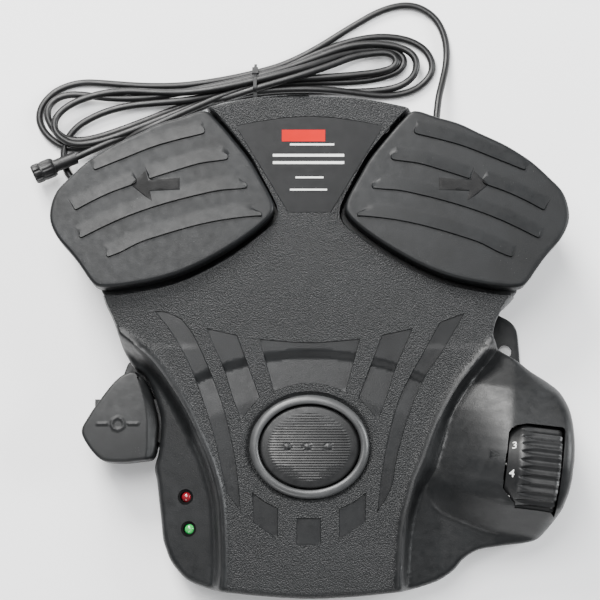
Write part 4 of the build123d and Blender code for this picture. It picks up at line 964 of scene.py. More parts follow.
def pedal_roof(q):
    z = 58.2 + rib_h(q)
    x, y = q[:, 0] + 90, q[:, 1] - 88
    z = z - 0.00010 * (x * x + y * y)
    ins = inside(q, ARROW)
    z = z + np.where(ins, 0.45 * np.clip(dist_line(q, ARROW)[0] / 0.4, 0, 1), 0)
    return z


def pedal_lines():
    out = []
    for r, p in zip(S_RIB, STRIPS):
        out.append((p, True))
        m = len(p) - len(r)
        rr = ring_in(p, 0.45)[:m]
        out.append((rr, False))
    out.append((ARROW, True))
    out.append((ring_in(ARROW, 0.4), True))
    return out


def flip_x(ob):
    ob.data.transform(Matrix.Scale(-1, 4, (1, 0, 0)))
    ob.data.flip_normals()
    return ob


def make_pedal(side):
    mats = [M_PEDAL, M_ARROW]
    p = field("pedal", S_PED, pedal_roof, 33.0, grid=GR, edge=2.1, lines=pedal_lines(), gap=0.5, mats=mats,
              fmat=lambda c: np.where(inside(c, ring_in(ARROW, 0.35)), 1, 0), rings=(0.03, 0.14, 0.3, 0.5, 0.75, 1.0), smooth=34)
    me = p.data
    mi = np.zeros(len(me.polygons), dtype=np.int32)
    me.polygons.foreach_get("material_index", mi)
    nz = np.zeros(len(me.polygons) * 3)
    me.polygons.foreach_get("normal", nz)
    mi[np.abs(nz.reshape(-1, 3)[:, 2]) < 0.05] = 0
    cz = np.zeros(len(me.polygons) * 3)
    me.polygons.foreach_get("center", cz)
    mi[cz.reshape(-1, 3)[:, 2] < 0.05] = 0
    me.polygons.foreach_set("material_index", mi)
    inner = prism("in", ring_in(smooth_line(PEDAL_L, 4.0, True, 60), 2.5), 30.0, 55.5, mats, 0)
    boolean(p, [inner], "DIFFERENCE")
    adds = []
    for off in (-41.5, 41.5):
        adds.append(hblock("plug", off, 3.0, HZ - 4.5, 57.0, -4.5, 4.5))
    boolean(p, adds, "UNION")
    # skirt cut: a large tilted block below the skirt plane
    n = Vector((-0.0787 * HN[0], -0.0787 * HN[1], 1.0)).normalized()
    c = Vector((HMID[0], HMID[1], 39.3))
    u = Vector((HD[0], HD[1], 0.0)).normalized()
    w = n.cross(u)
    vs = []
    for k in (0.0, -40.0):
        for a, b in ((-200, -200), (200, -200), (200, 200), (-200, 200)):
            vs.append(tuple((c + u * a + w * b + n * k) * MM))
    f = [(0, 1, 2, 3), (7, 6, 5, 4), (0, 4, 5, 1), (1, 5, 6, 2), (2, 6, 7, 3), (3, 7, 4, 0)]
    blk = new_mesh("cut", vs, f, mats)
    bm = bmesh.new()
    bm.from_mesh(blk.data)
    bmesh.ops.recalc_face_normals(bm, faces=bm.faces)
    bm.to_mesh(blk.data)
    bm.free()
    cutp = rod("pinc", (HMID[0] - 60 * HD[0], HMID[1] - 60 * HD[1], HZ), (HD[0], HD[1], 0), 2.05, 120, 24, mats)
    boolean(p, [blk, cutp], "DIFFERENCE")
    if side > 0:
        flip_x(p)
    finish_mesh(p, 34)
    nm = "left_pedal" if side < 0 else "right_pedal"
    p.name = nm + "_cap"
    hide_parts(nm)
    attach(p, nm)
    return p


make_pedal(-1)
make_pedal(1)
print("pedals done")

# ------------------------------------------------------------------ round button and its bezel (built in the tilted deck frame)


def rib_cap(q):
    a, b = 29.7, 24.7
    rr = (q[:, 0] / a) ** 2 + (q[:, 1] / b) ** 2
    z = 0.6 + 2.0 * np.clip(1 - rr, 0, 1) ** 0.9
    e = 1 - np.hypot(q[:, 0] / 24.8, q[:, 1] / 20.4)
    on = sstep(0.0, 0.05, e)
    ph = (q[:, 1] / 1.56) % 1.0
    z = z + on * 0.42 * (np.abs(ph - 0.5) * 2) ** 1.0 - on * 0.2
    for x in (-13.2, -1.2, 11.0):
        d = np.hypot(q[:, 0] - x, q[:, 1])
        z = np.where(d < 2.6, z * 0 + (0.6 + 2.0 * (1 - (x / a) ** 2) ** 0.9) - 0.35 + 0.85 * np.clip(1 - (d / 2.1) ** 2, 0, 1), z)
    return z


def ring_lines():
    out = []
    for k in np.arange(-13 * 1.56, 13.01 * 1.56, 0.78):
        e = 1 - (k / 20.4) ** 2
        if e > 0.02:
            xm = 24.8 * math.sqrt(e)
            out.append((np.column_stack((np.linspace(-xm, xm, max(6, int(xm / 1.2))), np.full(max(6, int(xm / 1.2)), k))), False))
    return out


def build_button():
    a, b = 29.7, 24.7
    # rows follow the ribs so that each one is a clean ridge
    ys = list(np.arange(-20.28, 20.29, 0.39)) + [-24.2, -23.6, -22.8, -22.0, -21.2, 24.2, 23.6, 22.8, 22.0, 21.2]
    base = ell(a, b, 180)
    pts = [Vector(p) for p in base]
    seg = [(i, (i + 1) % 180) for i in range(180)]
    for k in (0.995, 0.985, 0.965, 0.94):
        s = len(pts)
        pts += [Vector(p) for p in base * k]
        seg += [(s + i, s + (i + 1) % 180) for i in range(180)]
    for y in sorted(ys):
        xm = a * 0.93 * math.sqrt(max(0, 1 - (y / (b * 0.93)) ** 2))
        if xm < 1:
            continue
        n = max(3, int(xm * 2 / 0.9))
        pts += [Vector((x, y)) for x in np.linspace(-xm + 0.3, xm - 0.3, n)]
    v2, e2, f2, _, _, _ = delaunay_2d_cdt(pts, seg, [], 0, 1e-4)
    V = np.array([tuple(v) for v in v2])
    T = np.array([tuple(f) for f in f2])
    T = T[inside(V[T].mean(axis=1), base)]
    used = np.unique(T)
    remap = -np.ones(len(V), int)
    remap[used] = np.arange(len(used))
    V, T = V[used], remap[T]
    z = rib_cap(V)
    k = np.hypot(V[:, 0] / a, V[:, 1] / b)
    dd = np.clip((1 - k) * 27, 0, 1.3)
    z = z - (1.3 - np.sqrt(np.maximum(0, 1.3 ** 2 - (1.3 - dd) ** 2)))
    n = len(V)
    top = np.column_stack((V, z)) * MM
    bot = np.column_stack((V, np.full(n, -5.0))) * MM
    A, B, C = V[T[:, 0]], V[T[:, 1]], V[T[:, 2]]
    ccw = ((B - A)[:, 0] * (C - A)[:, 1] - (B - A)[:, 1] * (C - A)[:, 0]) > 0
    T = np.where(ccw[:, None], T, T[:, ::-1])
    cnt = {}
    for t in T:
        for i in range(3):
            cnt[(int(t[i]), int(t[(i + 1) % 3]))] = 1
    side = [(u, w) for (u, w) in cnt if (w, u) not in cnt]
    faces = [tuple(t) for t in T] + [tuple(n + x for x in t[::-1]) for t in T] + [(w, u, n + u, n + w) for u, w in side]
    ob = new_mesh("round_button_cap", np.vstack((top, bot)), faces, [M_BUTTON], None, 50)
    boolean(ob, [prism("bi", ell(a - 2.2, b - 2.2), -6.0, -1.4, [M_BUTTON])], "DIFFERENCE")
    boolean(ob, [rod("bs", (0, 0, -12.8), (0, 0, 1), 4.9, 12.0, 40, [M_BUTTON])], "UNION")
    grv = lathe("bg", [(-12.2, 4.0), (-11.2, 4.0), (-11.2, 6.5), (-12.2, 6.5)], 40, [M_BUTTON], 38, Matrix.Rotation(-math.pi / 2, 4, "Y"))
    boolean(ob, [grv], "DIFFERENCE")
    local(ob, BTN_M)
    finish_mesh(ob, 50)
    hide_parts("momentary_button")
    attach(ob, "round_button")


build_button()


def build_bezel():
    prof = [(0.0, 0.0), (0.0, 1.9), (0.35, 2.5), (1.0, 2.95), (2.0, 3.1), (3.2, 3.05), (4.4, 2.75), (5.3, 2.2), (6.0, 1.35), (6.3, 0.5), (6.4, 0.0),
            (6.4, -1.75), (0.0, -1.75)]
    n = 160
    v, f = [], []
    for i in range(n):
        t = 2 * math.pi * i / n
        for d, z in prof:
            a, b = 30.6 + d * 0.8, 25.6 + d * 0.8 * (6.7 / 6.4)
            v.append((a * math.cos(t) * MM, b * math.sin(t) * MM, z * MM))
    k = len(prof)
    for i in range(n):
        j = (i + 1) % n
        for q in range(k):
            w = (q + 1) % k
            f.append((i * k + q, j * k + q, j * k + w, i * k + w))
    ob = new_mesh("button_ring", v, f, [M_TRIM], None, 40)
    bm = bmesh.new()
    bm.from_mesh(ob.data)
    bmesh.ops.recalc_face_normals(bm, faces=bm.faces)
    bm.to_mesh(ob.data)
    bm.free()
    local(ob, BTN_M)
    finish_mesh(ob, 40)
    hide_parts("button_bezel")
    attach(ob, "housing")


build_bezel()

# ------------------------------------------------------------------ indicator lenses
for nm, (x, y), m in (("red_led_lens", (-74.3, -89.1), M_REDL), ("green_led_lens", (-72.4, -108.1), M_GRNL)):
    zt = float(wing_l(arr([(x, y)]))[0])
    prof = [(zt - 6.0, 0.0), (zt - 6.0, 3.15), (zt - 2.2, 3.15)]
    prof += [(zt - 2.2 + 2.7 * math.sin(a), 3.15 * math.cos(a)) for a in np.linspace(0.12, 1.45, 9)] + [(zt + 0.5, 0.0)]
    n = 40
    v, f = [], []
    for i in range(n):
        a = 2 * math.pi * i / n
        for z, r in prof[1:-1]:
            v.append(((x + 0.75 + r * math.cos(a)) * MM, (y + r * math.sin(a)) * MM, z * MM))
    k = len(prof) - 2
    v += [((x + 0.75) * MM, y * MM, prof[0][0] * MM), ((x + 0.75) * MM, y * MM, prof[-1][0] * MM)]
    for i in range(n):
        j = (i + 1) % n
        for q in range(k - 1):
            f.append((i * k + q, j * k + q, j * k + q + 1, i * k + q + 1))
        f.append((len(v) - 2, j * k, i * k))
        f.append((len(v) - 1, i * k + k - 1, j * k + k - 1))
    lens = new_mesh(nm + "_dome", v, f, [m], None, 60)
    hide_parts(nm)
    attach(lens, "housing")

# ------------------------------------------------------------------ side key
KEY = [(-105.8, -13.9), (-111.8, -15.5), (-117.7, -20.3), (-126.6, -31.8), (-133.0, -41.4),
       (-136.9, -49.8), (-132.8, -58.8), (-126.1, -66.2), (-122.4, -68.0), (-112.2, -68.6),
       (-102.1, -67.6), (-94.9, -66.2), (-92.8, -62.6), (-91.6, -54.6), (-91.2, -43.2),
       (-93.6, -33.0), (-97.3, -22.9), (-101.6, -16.5)]
FACET = arr([(-102.5, -20.9), (-99.6, -31.0), (-98.1, -38.6), (-97.4, -48.8), (-97.6, -60.0), (-98.5, -69.5)])
S_KEY = smooth_line(KEY, 1.6, True, 70)
S_FAC = smooth_line(FACET, 1.6, False)
SYM_C = (-115.0, -45.6)


def key_roof(q):
    z = 35.6 - 0.0012 * ((q[:, 0] + 113) ** 2 + (q[:, 1] + 44) ** 2)
    d, sd, u, tot = dist_line(q, S_FAC, False)
    right = d * (sd > 0)
    z = z - 0.50 * np.clip(np.where(sd > 0, d, 0), 0, 7)
    # generic raised mark: a ring with a bar on either side
    dx, dy = q[:, 0] - SYM_C[0], q[:, 1] - SYM_C[1]
    r = np.hypot(dx, dy)
    ring = np.clip((1.0 - np.abs(r - 3.6)) / 0.35, 0, 1)
    bar = np.clip((0.9 - np.abs(dy)) / 0.3, 0, 1) * (np.abs(np.abs(dx) - 9.2) < 3.4)
    return z + 0.5 * np.maximum(ring, bar)


key = field("side_key_cap", S_KEY, key_roof, 15.0, grid=0.9, edge=1.7, lines=[(S_FAC[2:-3], False)], gap=0.4, mats=[M_KEY],
            rings=(0.04, 0.15, 0.35, 0.65, 1.0), smooth=36)
boolean(key, [prism("ki", ring_in(smooth_line(KEY, 4, True, 70), 2.4), 14.0, 32.4, [M_KEY])], "DIFFERENCE")
boolean(key, [prism("ka", [(-130, -56), (-66, -56), (-66, -30), (-130, -30)], 17.0, 25.0, [M_KEY]),
              prism("kb", [(-127, -44.5), (-97, -44.5), (-97, -41.5), (-127, -41.5)], 24.0, 33.5, [M_KEY])], "UNION")
boolean(key, [rod("kp", (-82.0, -23.0, 21.0), (0, -1, 0), 2.05, 40, 32, [M_KEY])], "DIFFERENCE")
finish_mesh(key, 36)
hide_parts("con_key")
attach(key, "side_key")

# ------------------------------------------------------------------ speed dial
DIAL_M = Matrix.Translation(Vector(DC) * MM) @ Matrix.Rotation(-math.radians(7), 4, "Z")


def build_dial():
    R = 29.5
    NF, PER = 36, 14
    n = NF * PER
    ss = [-17.0, -16.6, -15.5, -14.2, -13.0, -12.2, -11.8, -11.2, -10.6, -10.0, -9.4, -8.6, -7.8, -7.0, -6.0, -5.0, -4.0, -3.0, -1.5, 1.0, 4.0,
          7.0, 9.0, 11.0, 12.4, 13.2, 13.8]

    def rad(s):
        if s < -9.6:
            r = R - 4.6 * (-9.6 - s) / 7.4
        elif s <= 12.4:
            r = R
        else:
            r = R - 1.0 * (s - 12.4) / 1.4
        # soften the arris between band and flutes
        if -11.2 < s < -8.0:
            r -= 0.22 * (1 - abs(s + 9.6) / 1.6)
        return r

    inner = [(14.0, R - 6.0), (9.0, R - 5.2), (-8.5, R - 5.2), (-8.5, 7.0), (14.0, 7.0), (14.0, 3.05), (-13.5, 3.05), (-13.5, 7.0), (-12.0, 7.0),
             (-12.0, R - 7.6), (-16.6, R - 7.8), (-17.0, R - 7.0)]
    v, f = [], []
    for i in range(n):
        a = 2 * math.pi * i / n
        ph = (i % PER) / PER - 0.5
        for s in ss:
            r = rad(s)
            # pointed flute: half width opens with the distance from its tip
            w = np.clip((s + 10.6) / 8.0, 0, 1) ** 0.85 * 0.5
            if w > 0.01 and abs(ph) < w:
                g = math.cos(ph / w * math.pi / 2) ** 1.2
                r -= 1.3 * g * min(1.0, (s + 10.6) / 3.6)
            v.append((s * MM, r * math.sin(a) * MM, r * math.cos(a) * MM))
        for s, r in inner:
            v.append((s * MM, r * math.sin(a) * MM, r * math.cos(a) * MM))
    k = len(ss) + len(inner)
    for i in range(n):
        j = (i + 1) % n
        for q in range(k):
            w = (q + 1) % k
            f.append((i * k + q, j * k + q, j * k + w, i * k + w))
    ob = new_mesh("speed_dial_wheel", v, f, [M_DIAL], None, 42)
    ob.data.transform(DIAL_M)
    bm = bmesh.new()
    bm.from_mesh(ob.data)
    bmesh.ops.recalc_face_normals(bm, faces=bm.faces)
    bm.to_mesh(ob.data)
    bm.free()
    finish_mesh(ob, 42)
    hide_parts("speed_dial")
    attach(ob, "dial")
    # printed scale on the bevel band
    for dig in range(9):
        phi = math.radians(4.4 + 36.0 * (3.5 - dig))
        cu = bpy.data.curves.new("digit", "FONT")
        cu.body = str(dig)
        cu.size = 6.3
        cu.align_x = "CENTER"
        cu.align_y = "CENTER"
        cu.offset = 0.05
        cu.resolution_u = 4
        cu.extrude = 0.1
        to = bpy.data.objects.new("d", cu)
        bpy.context.scene.collection.objects.link(to)
        bpy.context.view_layer.update()
        dg = bpy.context.evaluated_depsgraph_get()
        me = bpy.data.meshes.new_from_object(to.evaluated_get(dg))
        bpy.data.objects.remove(to)
        bm = bmesh.new()
        bm.from_mesh(me)
        bmesh.ops.remove_doubles(bm, verts=bm.verts, dist=1e-5)
        bmesh.ops.subdivide_edges(bm, edges=[e for e in bm.edges if e.calc_length() > 0.8], cuts=1)
        for vv in bm.verts:
            s = -14.0 + vv.co.x * 0.95
            rr = R - 4.6 * (-9.6 - s) / 7.4
            ph = phi + vv.co.y / 26.8
            r = rr + (0.10 if vv.co.z > 0 else -0.08)
            vv.co = Vector((s * MM, r * math.sin(ph) * MM, r * math.cos(ph) * MM))
        bmesh.ops.triangulate(bm, faces=bm.faces)
        bmesh.ops.recalc_face_normals(bm, faces=bm.faces)
        bm.to_mesh(me)
        bm.free()
        me.transform(DIAL_M)
        me.materials.clear()
        me.materials.append(M_WHITE)
        d = bpy.data.objects.new("dial_digit_%d" % dig, me)
        bpy.context.scene.collection.objects.link(d)
        finish_mesh(d, 30)
        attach(d, "dial")


build_dial()
print("dial done")


# ------------------------------------------------------------------ generic print on the label plate
def print_bar(name, x0, x1, y0, y1, m, slant=0.0):
    z = lambda y: deck_z(y) + 0.10
    p = [(x0, y0), (x1, y0), (x1 + slant, y1), (x0 + slant, y1)]
    ob = prism(name, p, np.array([z(y) - 0.06 for _, y in p]), np.array([z(y) + 0.07 for _, y in p]), [m])
    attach(ob, "housing")


print_bar("print_red_bar", -16.6, 9.4, 122.8, 129.8, M_RED)
print_bar("print_rule", -11.7, 14.8, 120.4, 121.5, M_WHITE)
print_bar("print_bar_a", -22.0, 20.8, 113.6, 115.2, M_WHITE)
print_bar("print_bar_b", -22.0, 20.8, 109.2, 110.8, M_WHITE)
print_bar("print_bar_c", -8.4, 8.4, 100.6, 101.6, M_WHITE)
print_bar("print_bar_d", -11.7, 10.5, 93.2, 94.2, M_WHITE)

# ------------------------------------------------------------------ cable
LEAD_OUT = [(79.5, 146.0, 16.0), (80.6, 158.5, 14.3), (84.2, 172.0, 8.6), (87.6, 187.0, 3.4), (87.0, 202.5, 2.4),
            (80.5, 216.5, 2.3), (66.0, 224.8, 2.3), (47.5, 221.5, 2.3), (27.0, 209.5, 2.3), (4.0, 194.5, 2.4)]
TURN_A = [(-15.2, 184.7, 2.4), (-33.0, 179.5, 2.3), (-50.1, 175.6, 2.3), (-65.9, 172.9, 2.3), (-81.8, 171.0, 2.3),
          (-100.8, 170.7, 2.3), (-116.6, 171.6, 2.3), (-132.5, 172.9, 2.3), (-142.0, 173.3, 2.3),
          (-151.5, 171.6, 2.3), (-160.3, 167.7, 2.3), (-166.5, 161.9, 2.3), (-170.2, 155.4, 2.3),
          (-170.7, 148.3, 2.3), (-167.4, 141.2, 2.3), (-161.6, 135.4, 2.3), (-154.6, 131.5, 2.3),
          (-145.7, 129.9, 2.3), (-135.0, 131.8, 2.3), (-122.5, 136.6, 2.3), (-106.8, 143.1, 2.3),
          (-91.1, 150.2, 2.3), (-75.3, 156.7, 2.3), (-59.5, 161.2, 2.3), (-46.9, 163.8, 2.3), (-32.9, 165.1, 2.3),
          (-15.2, 166.4, 2.3), (3.8, 167.1, 2.3), (22.8, 167.1, 2.3), (38.6, 167.3, 2.6), (52.5, 168.7, 3.5),
          (60.7, 171.6, 5.0), (66.4, 176.4, 6.5), (68.3, 182.7, 7.0), (67.1, 188.6, 7.0), (62.1, 193.3, 6.5),
          (54.5, 196.0, 6.3), (45.0, 197.3, 6.3), (33.6, 197.3, 6.3), (20.9, 194.7, 6.3), (3.8, 188.1, 6.3),
          (-15.2, 181.0, 6.3), (-32.9, 176.1, 6.3)]
TURN_B = [(-49.9, 171.9, 6.3), (-65.7, 168.6, 6.3), (-81.5, 165.4, 6.2), (-97.3, 163.0, 5.5), (-113.1, 161.9, 5.0),
          (-128.9, 162.5, 5.0), (-141.6, 164.4, 5.0), (-151.1, 164.8, 5.0), (-159.2, 162.5, 5.0),
          (-164.4, 157.2, 5.5), (-165.2, 150.6, 6.0), (-162.5, 144.2, 6.0), (-158.0, 139.0, 6.0),
          (-152.3, 135.5, 6.0), (-143.5, 134.5, 6.0), (-131.6, 137.2, 5.5), (-116.0, 142.8, 5.0),
          (-100.4, 149.2, 4.0), (-84.8, 156.0, 2.6), (-69.0, 161.9, 2.3), (-53.2, 166.8, 2.3), (-33.0, 170.0, 2.3),
          (-15.2, 172.3, 2.3), (3.8, 173.3, 2.3), (22.8, 173.3, 2.3), (38.7, 174.5, 2.5), (50.1, 177.3, 3.0),
          (57.8, 180.6, 3.5), (61.0, 186.6, 3.5), (57.4, 192.4, 3.0), (49.4, 195.0, 3.0), (39.4, 194.6, 3.0),
          (28.6, 193.0, 4.0), (16.5, 188.9, 6.0), (0.6, 182.2, 9.0), (-15.2, 177.3, 10.3), (-32.8, 172.8, 10.3)]
TURN_C = [(-49.8, 169.0, 10.0), (-65.5, 166.3, 9.0), (-81.3, 165.0, 8.0), (-97.1, 165.4, 7.5), (-113.0, 166.5, 7.0),
          (-126.8, 165.6, 7.0), (-138.2, 163.0, 7.0), (-148.2, 159.1, 7.0), (-156.2, 153.5, 7.5),
          (-160.4, 146.9, 8.0), (-159.7, 140.5, 8.0), (-155.8, 136.0, 8.0), (-149.6, 132.5, 7.5),
          (-141.4, 132.0, 7.0), (-128.9, 134.6, 7.0), (-113.9, 140.1, 6.8), (-98.9, 146.3, 6.6), (-83.2, 152.8, 6.4),
          (-67.5, 158.6, 6.4), (-51.1, 162.8, 6.3), (-32.9, 166.4, 6.3), (-12.0, 168.0, 6.3), (10.1, 167.8, 6.0),
          (29.1, 166.0, 4.0), (46.2, 164.1, 2.6), (59.6, 165.5, 2.3), (69.7, 169.7, 2.3), (76.8, 176.9, 2.3),
          (78.7, 184.0, 2.3), (76.3, 191.5, 2.3), (70.6, 197.4, 2.3), (61.1, 201.7, 2.3), (48.4, 203.3, 2.3),
          (35.7, 202.3, 2.3), (21.6, 198.7, 2.3), (5.7, 192.5, 2.3), (-12.0, 184.7, 2.3), (-33.0, 174.9, 2.3)]
TURN_D = [(-48.8, 168.3, 2.6), (-64.5, 163.2, 5.0), (-80.1, 160.2, 6.5), (-96.5, 158.9, 6.5), (-113.0, 157.4, 6.0),
          (-126.3, 154.4, 5.0), (-137.0, 150.0, 4.5), (-146.0, 144.5, 4.0), (-151.8, 137.8, 3.4), (-154.8, 129.5, 2.5), (-154.4, 121.0, 2.3), (-151.4, 113.4, 2.3), (-146.2, 109.2, 2.3), (-140.0, 109.6, 2.3), (-135.8, 115.0, 2.3), (-131.6, 121.4, 2.3), (-124.5, 129.2, 2.4), (-114.0, 136.6, 5.0),
          (-101.1, 142.0, 9.5), (-85.5, 149.2, 9.2), (-69.9, 156.6, 8.0), (-52.4, 164.7, 6.5),
          (-32.9, 171.2, 6.3), (-12.0, 174.5, 6.3), (10.1, 175.5, 6.3), (29.1, 177.1, 6.3), (43.6, 178.7, 6.3),
          (53.2, 181.4, 6.3), (56.2, 186.6, 6.3), (51.2, 191.8, 6.3), (39.3, 191.0, 6.5), (27.2, 188.5, 7.5),
          (14.5, 182.9, 8.8), (-0.7, 177.4, 10.0), (-15.1, 172.8, 10.3), (-32.8, 167.6, 10.3)]
TURN_E = [(-48.5, 163.0, 7.6)]
LEAD_PLUG = [(-63.0, 159.4, 2.5), (-76.0, 153.6, 2.3), (-91.0, 148.0, 2.6), (-106.5, 141.8, 3.9), (-121.0, 135.4, 6.2),
             (-134.0, 129.3, 8.0), (-146.0, 123.2, 9.2)]
PATH = LEAD_OUT + TURN_A + TURN_B + TURN_C + TURN_D + TURN_E + LEAD_PLUG


def cable():
    p = arr(PATH)
    cu = bpy.data.curves.new("signal_cable", "CURVE")
    cu.dimensions = "3D"
    cu.bevel_depth = 0.00225
    cu.bevel_resolution = 6
    cu.resolution_u = 8
    cu.use_fill_caps = True
    sp = cu.splines.new("NURBS")
    sp.points.add(len(p) - 1)
    for i, q in enumerate(p):
        sp.points[i].co = (q[0] * MM, q[1] * MM, q[2] * MM, 1.0)
    sp.order_u = 3
    sp.use_endpoint_u = True
    ob = bpy.data.objects.new("signal_cable", cu)
    bpy.context.scene.collection.objects.link(ob)
    cu.materials.append(M_CABLE)
    d = np.linalg.norm(np.diff(p, axis=0), axis=1)
    return ob, float(d.sum()) * MM


cord, cord_len = cable()
print("cord polygon length", cord_len)
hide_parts("cord_lead_out", "cord_hank", "cord_lead_plug")
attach(cord, "housing")

# ------------------------------------------------------------------ tie on the hank and the plug's coupling nut


def hull2(p):
    p = sorted(set(map(tuple, p)))

    def half(it):
        h = []
        for q in it:
            while len(h) > 1 and (h[-1][0] - h[-2][0]) * (q[1] - h[-2][1]) - (h[-1][1] - h[-2][1]) * (q[0] - h[-2][0]) <= 0:
                h.pop()
            h.append(q)
        return h[:-1]
    return half(p) + half(p[::-1])


def zip_tie():
    # strands of the hank where the band goes round it: y and z of each
    strands = [(179.5, 2.3), (165.1, 2.3), (176.1, 6.3), (170.0, 2.3), (172.8, 10.3), (166.4, 6.3), (174.9, 2.3), (171.2, 6.3), (167.6, 10.3)]
    pts = []
    for y, z in strands:
        for a in np.linspace(0, 2 * math.pi, 28, endpoint=False):
            pts.append((round(y + 2.9 * math.cos(a), 4), round(max(0.25, z + 2.9 * math.sin(a)), 4)))
    loop = smooth_line(hull2(pts), 0.8, True, 50)
    n = len(loop)
    inn = ring_in(loop, 0.75)
    v, f = [], []
    prof = [(-1.3, 0.0), (-1.05, 1.0), (1.05, 1.0), (1.3, 0.0), (1.05, -0.05), (-1.05, -0.05)]
    for i in range(n):
        for dx, k in prof:
            p = inn[i] + (loop[i] - inn[i]) * k
            v.append(((-34.0 + dx) * MM, p[0] * MM, p[1] * MM))
    k = len(prof)
    for i in range(n):
        j = (i + 1) % n
        for q in range(k):
            w = (q + 1) % k
            f.append((i * k + q, i * k + w, j * k + w, j * k + q))
    ob = new_mesh("hank_tie_band", v, f, [M_PLUG], None, 40)
    bm = bmesh.new()
    bm.from_mesh(ob.data)
    bmesh.ops.recalc_face_normals(bm, faces=bm.faces)
    bm.to_mesh(ob.data)
    bm.free()
    head = prism("th", [(-35.9, 177.6), (-32.1, 177.6), (-32.1, 181.4), (-35.9, 181.4)], 6.2, 9.6, [M_PLUG])
    tail = prism("tt", [(-34.9, 180.6), (-33.1, 180.6), (-32.7, 183.6), (-34.5, 183.6)], 7.4, 8.3, [M_PLUG])
    boolean(ob, [head, tail], "UNION", "EXACT")
    finish_mesh(ob, 40)
    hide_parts("hank_tie")
    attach(ob, "housing")
    return ob


tie = zip_tie()


def coupling_nut():
    ax = Vector((-0.895, -0.421, 0.15)).normalized()
    o = Vector((-146.0, 123.2, 9.2)) + ax * 14.5
    n = 16 * 10
    stations = [(0.0, 5.2, 0), (0.5, 5.7, 0), (1.4, 6.0, 0), (2.0, 6.3, 1), (7.4, 6.35, 1), (7.9, 6.0, 0), (8.9, 6.0, 0), (9.4, 6.3, 2),
                (12.6, 6.3, 2), (13.4, 6.1, 2), (14.2, 5.5, 2), (14.2, 4.5, 0), (5.0, 4.5, 0), (5.0, 0.0, 0)]
    u = Vector((0, 0, 1))
    w = ax.cross(u)
    v, f = [], []
    k = len(stations) - 1
    for i in range(n):
        a = 2 * math.pi * i / n
        for h, r, rib in stations[:-1]:
            rr = r - (0.32 * (0.5 - 0.5 * math.cos(16 * a)) if rib == 1 else 0.9 * max(0.0, math.cos(8 * a)) ** 0.6 if rib == 2 else 0)
            v.append(tuple((o + ax * h + (u * math.cos(a) + w * math.sin(a)) * rr) * MM))
    v.append(tuple((o + ax * 5.0) * MM))
    v.append(tuple(o * MM))
    c1, c0 = len(v) - 2, len(v) - 1
    for i in range(n):
        j = (i + 1) % n
        for q in range(k - 1):
            f.append((i * k + q, i * k + q + 1, j * k + q + 1, j * k + q))
        f.append((i * k + k - 1, c1, j * k + k - 1))
        f.append((i * k, j * k, c0))
    ob = new_mesh("plug_coupling_nut", v, f, [M_PLUG], None, 35)
    bm = bmesh.new()
    bm.from_mesh(ob.data)
    bmesh.ops.recalc_face_normals(bm, faces=bm.faces)
    bm.to_mesh(ob.data)
    bm.free()
    finish_mesh(ob, 35)
    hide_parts("plug_nut")
    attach(ob, "housing")
    return ob


nut = coupling_nut()

# ------------------------------------------------------------------ finishes of the CAD pieces that stay in view
FIN = {
    "base_plate": M_BASE, "housing_gasket": M_RUB, "rubber_feet": M_RUB, "housing_screws": M_STEEL, "deck_label": M_LABEL,
    "button_clip": M_STEEL, "button_spring": M_STEEL, "left_pedal_spring": M_STEEL, "right_pedal_spring": M_STEEL,
    "left_plunger": M_SW, "right_plunger": M_SW, "left_hinge_pin": M_STEEL, "right_hinge_pin": M_STEEL,
    "left_steer_switch": M_SW, "right_steer_switch": M_SW, "momentary_switch": M_SW, "con_switch": M_SW,
    "con_key_pin": M_STEEL, "con_key_spring": M_STEEL, "led_bezels": M_BEZEL_SHADE,
    "led_board": M_PCB, "main_pcb": M_PCB, "pcb_screws": M_STEEL, "board_header": M_SW, "inner_lead": M_CABLE,
    "dial_shaft": M_STEEL, "dial_bush": M_BRASS, "speed_pot": M_POT, "pot_bracket": M_STEEL, "pot_nut": M_STEEL,
    "cable_gland": M_PLUG, "gland_nut": M_PLUG, "plug_body": M_PLUG, "plug_pins": M_BRASS,
}
for name, m in FIN.items():
    ob = bpy.data.objects.get(name)
    if ob is None:
        print("NO NODE", name)
        continue
    ob.data.materials.clear()
    ob.data.materials.append(m)
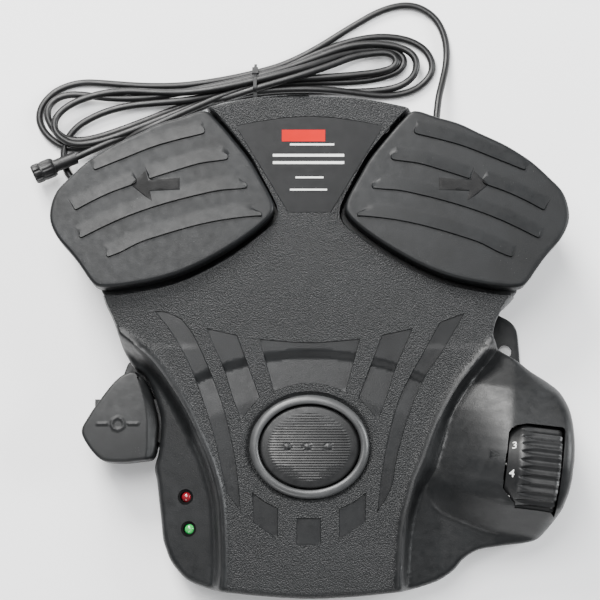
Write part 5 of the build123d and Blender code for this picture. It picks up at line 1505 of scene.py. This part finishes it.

# ------------------------------------------------------------------ steel copies of the springs, attached to the housing
for nm, jt, keep in (("left_pedal_spring", "left_pedal_tilt", 0.62), ("right_pedal_spring", "right_pedal_tilt", 0.62),
                     ("button_spring", "round_button_press", 0.55)):
    src = bpy.data.objects[nm]
    me = src.data.copy()
    me.transform(src.matrix_world)
    sp = bpy.data.objects.new(nm + "_coil", me)
    bpy.context.scene.collection.objects.link(sp)
    me.materials.clear()
    me.materials.append(M_STEEL)
    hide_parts(nm)
    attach(sp, "housing")
    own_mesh(sp)

# ------------------------------------------------------------------ floor and light
fm, fnt, fb = mat("floor_paper", (0.95, 0.95, 0.955), 0.9, spec=0.1, emit=(1.0, 1.0, 1.0), emit_s=0.16)
fn = noise(fnt, coords(fnt), 3.0, 3.0)
fnt.links.new(ramp(fnt, fn, [(0.3, (0.94, 0.94, 0.945)), (0.7, (0.96, 0.96, 0.965))]), fb.inputs["Base Color"])
floor = new_mesh("floor", [(-4, -4, -0.0002), (4, -4, -0.0002), (4, 4, -0.0002), (-4, 4, -0.0002)], [(0, 1, 2, 3)], [fm])

w = bpy.data.worlds.new("studio")
bpy.context.scene.world = w
w.use_nodes = True
bg = next(n for n in w.node_tree.nodes if n.type == "BACKGROUND")
bg.inputs["Color"].default_value = (0.93, 0.96, 1.0, 1)
bg.inputs["Strength"].default_value = 0.24


def area(name, loc, target, size, power, color=(1, 1, 1), size_y=None):
    d = bpy.data.lights.new(name, "AREA")
    d.energy = power
    d.color = color
    d.shape = "RECTANGLE"
    d.size = size
    d.size_y = size_y or size
    o = bpy.data.objects.new(name, d)
    o.location = loc
    o.rotation_euler = (Vector(target) - Vector(loc)).to_track_quat("-Z", "Y").to_euler()
    bpy.context.scene.collection.objects.link(o)
    return o


area("key", (-0.7, 1.45, 1.2), (0, 0, 0.03), 0.75, 80, (1.0, 0.99, 0.97))
area("over", (-0.3, 0.5, 1.5), (0, 0, 0.03), 0.8, 32, (1.0, 1.0, 1.0))
area("side", (1.7, 0.3, 0.9), (0, 0, 0.03), 0.7, 45, (0.97, 0.99, 1.0))
area("heel", (-0.6, -1.9, 1.2), (0, 0, 0.03), 0.9, 14, (1.0, 1.0, 1.0))
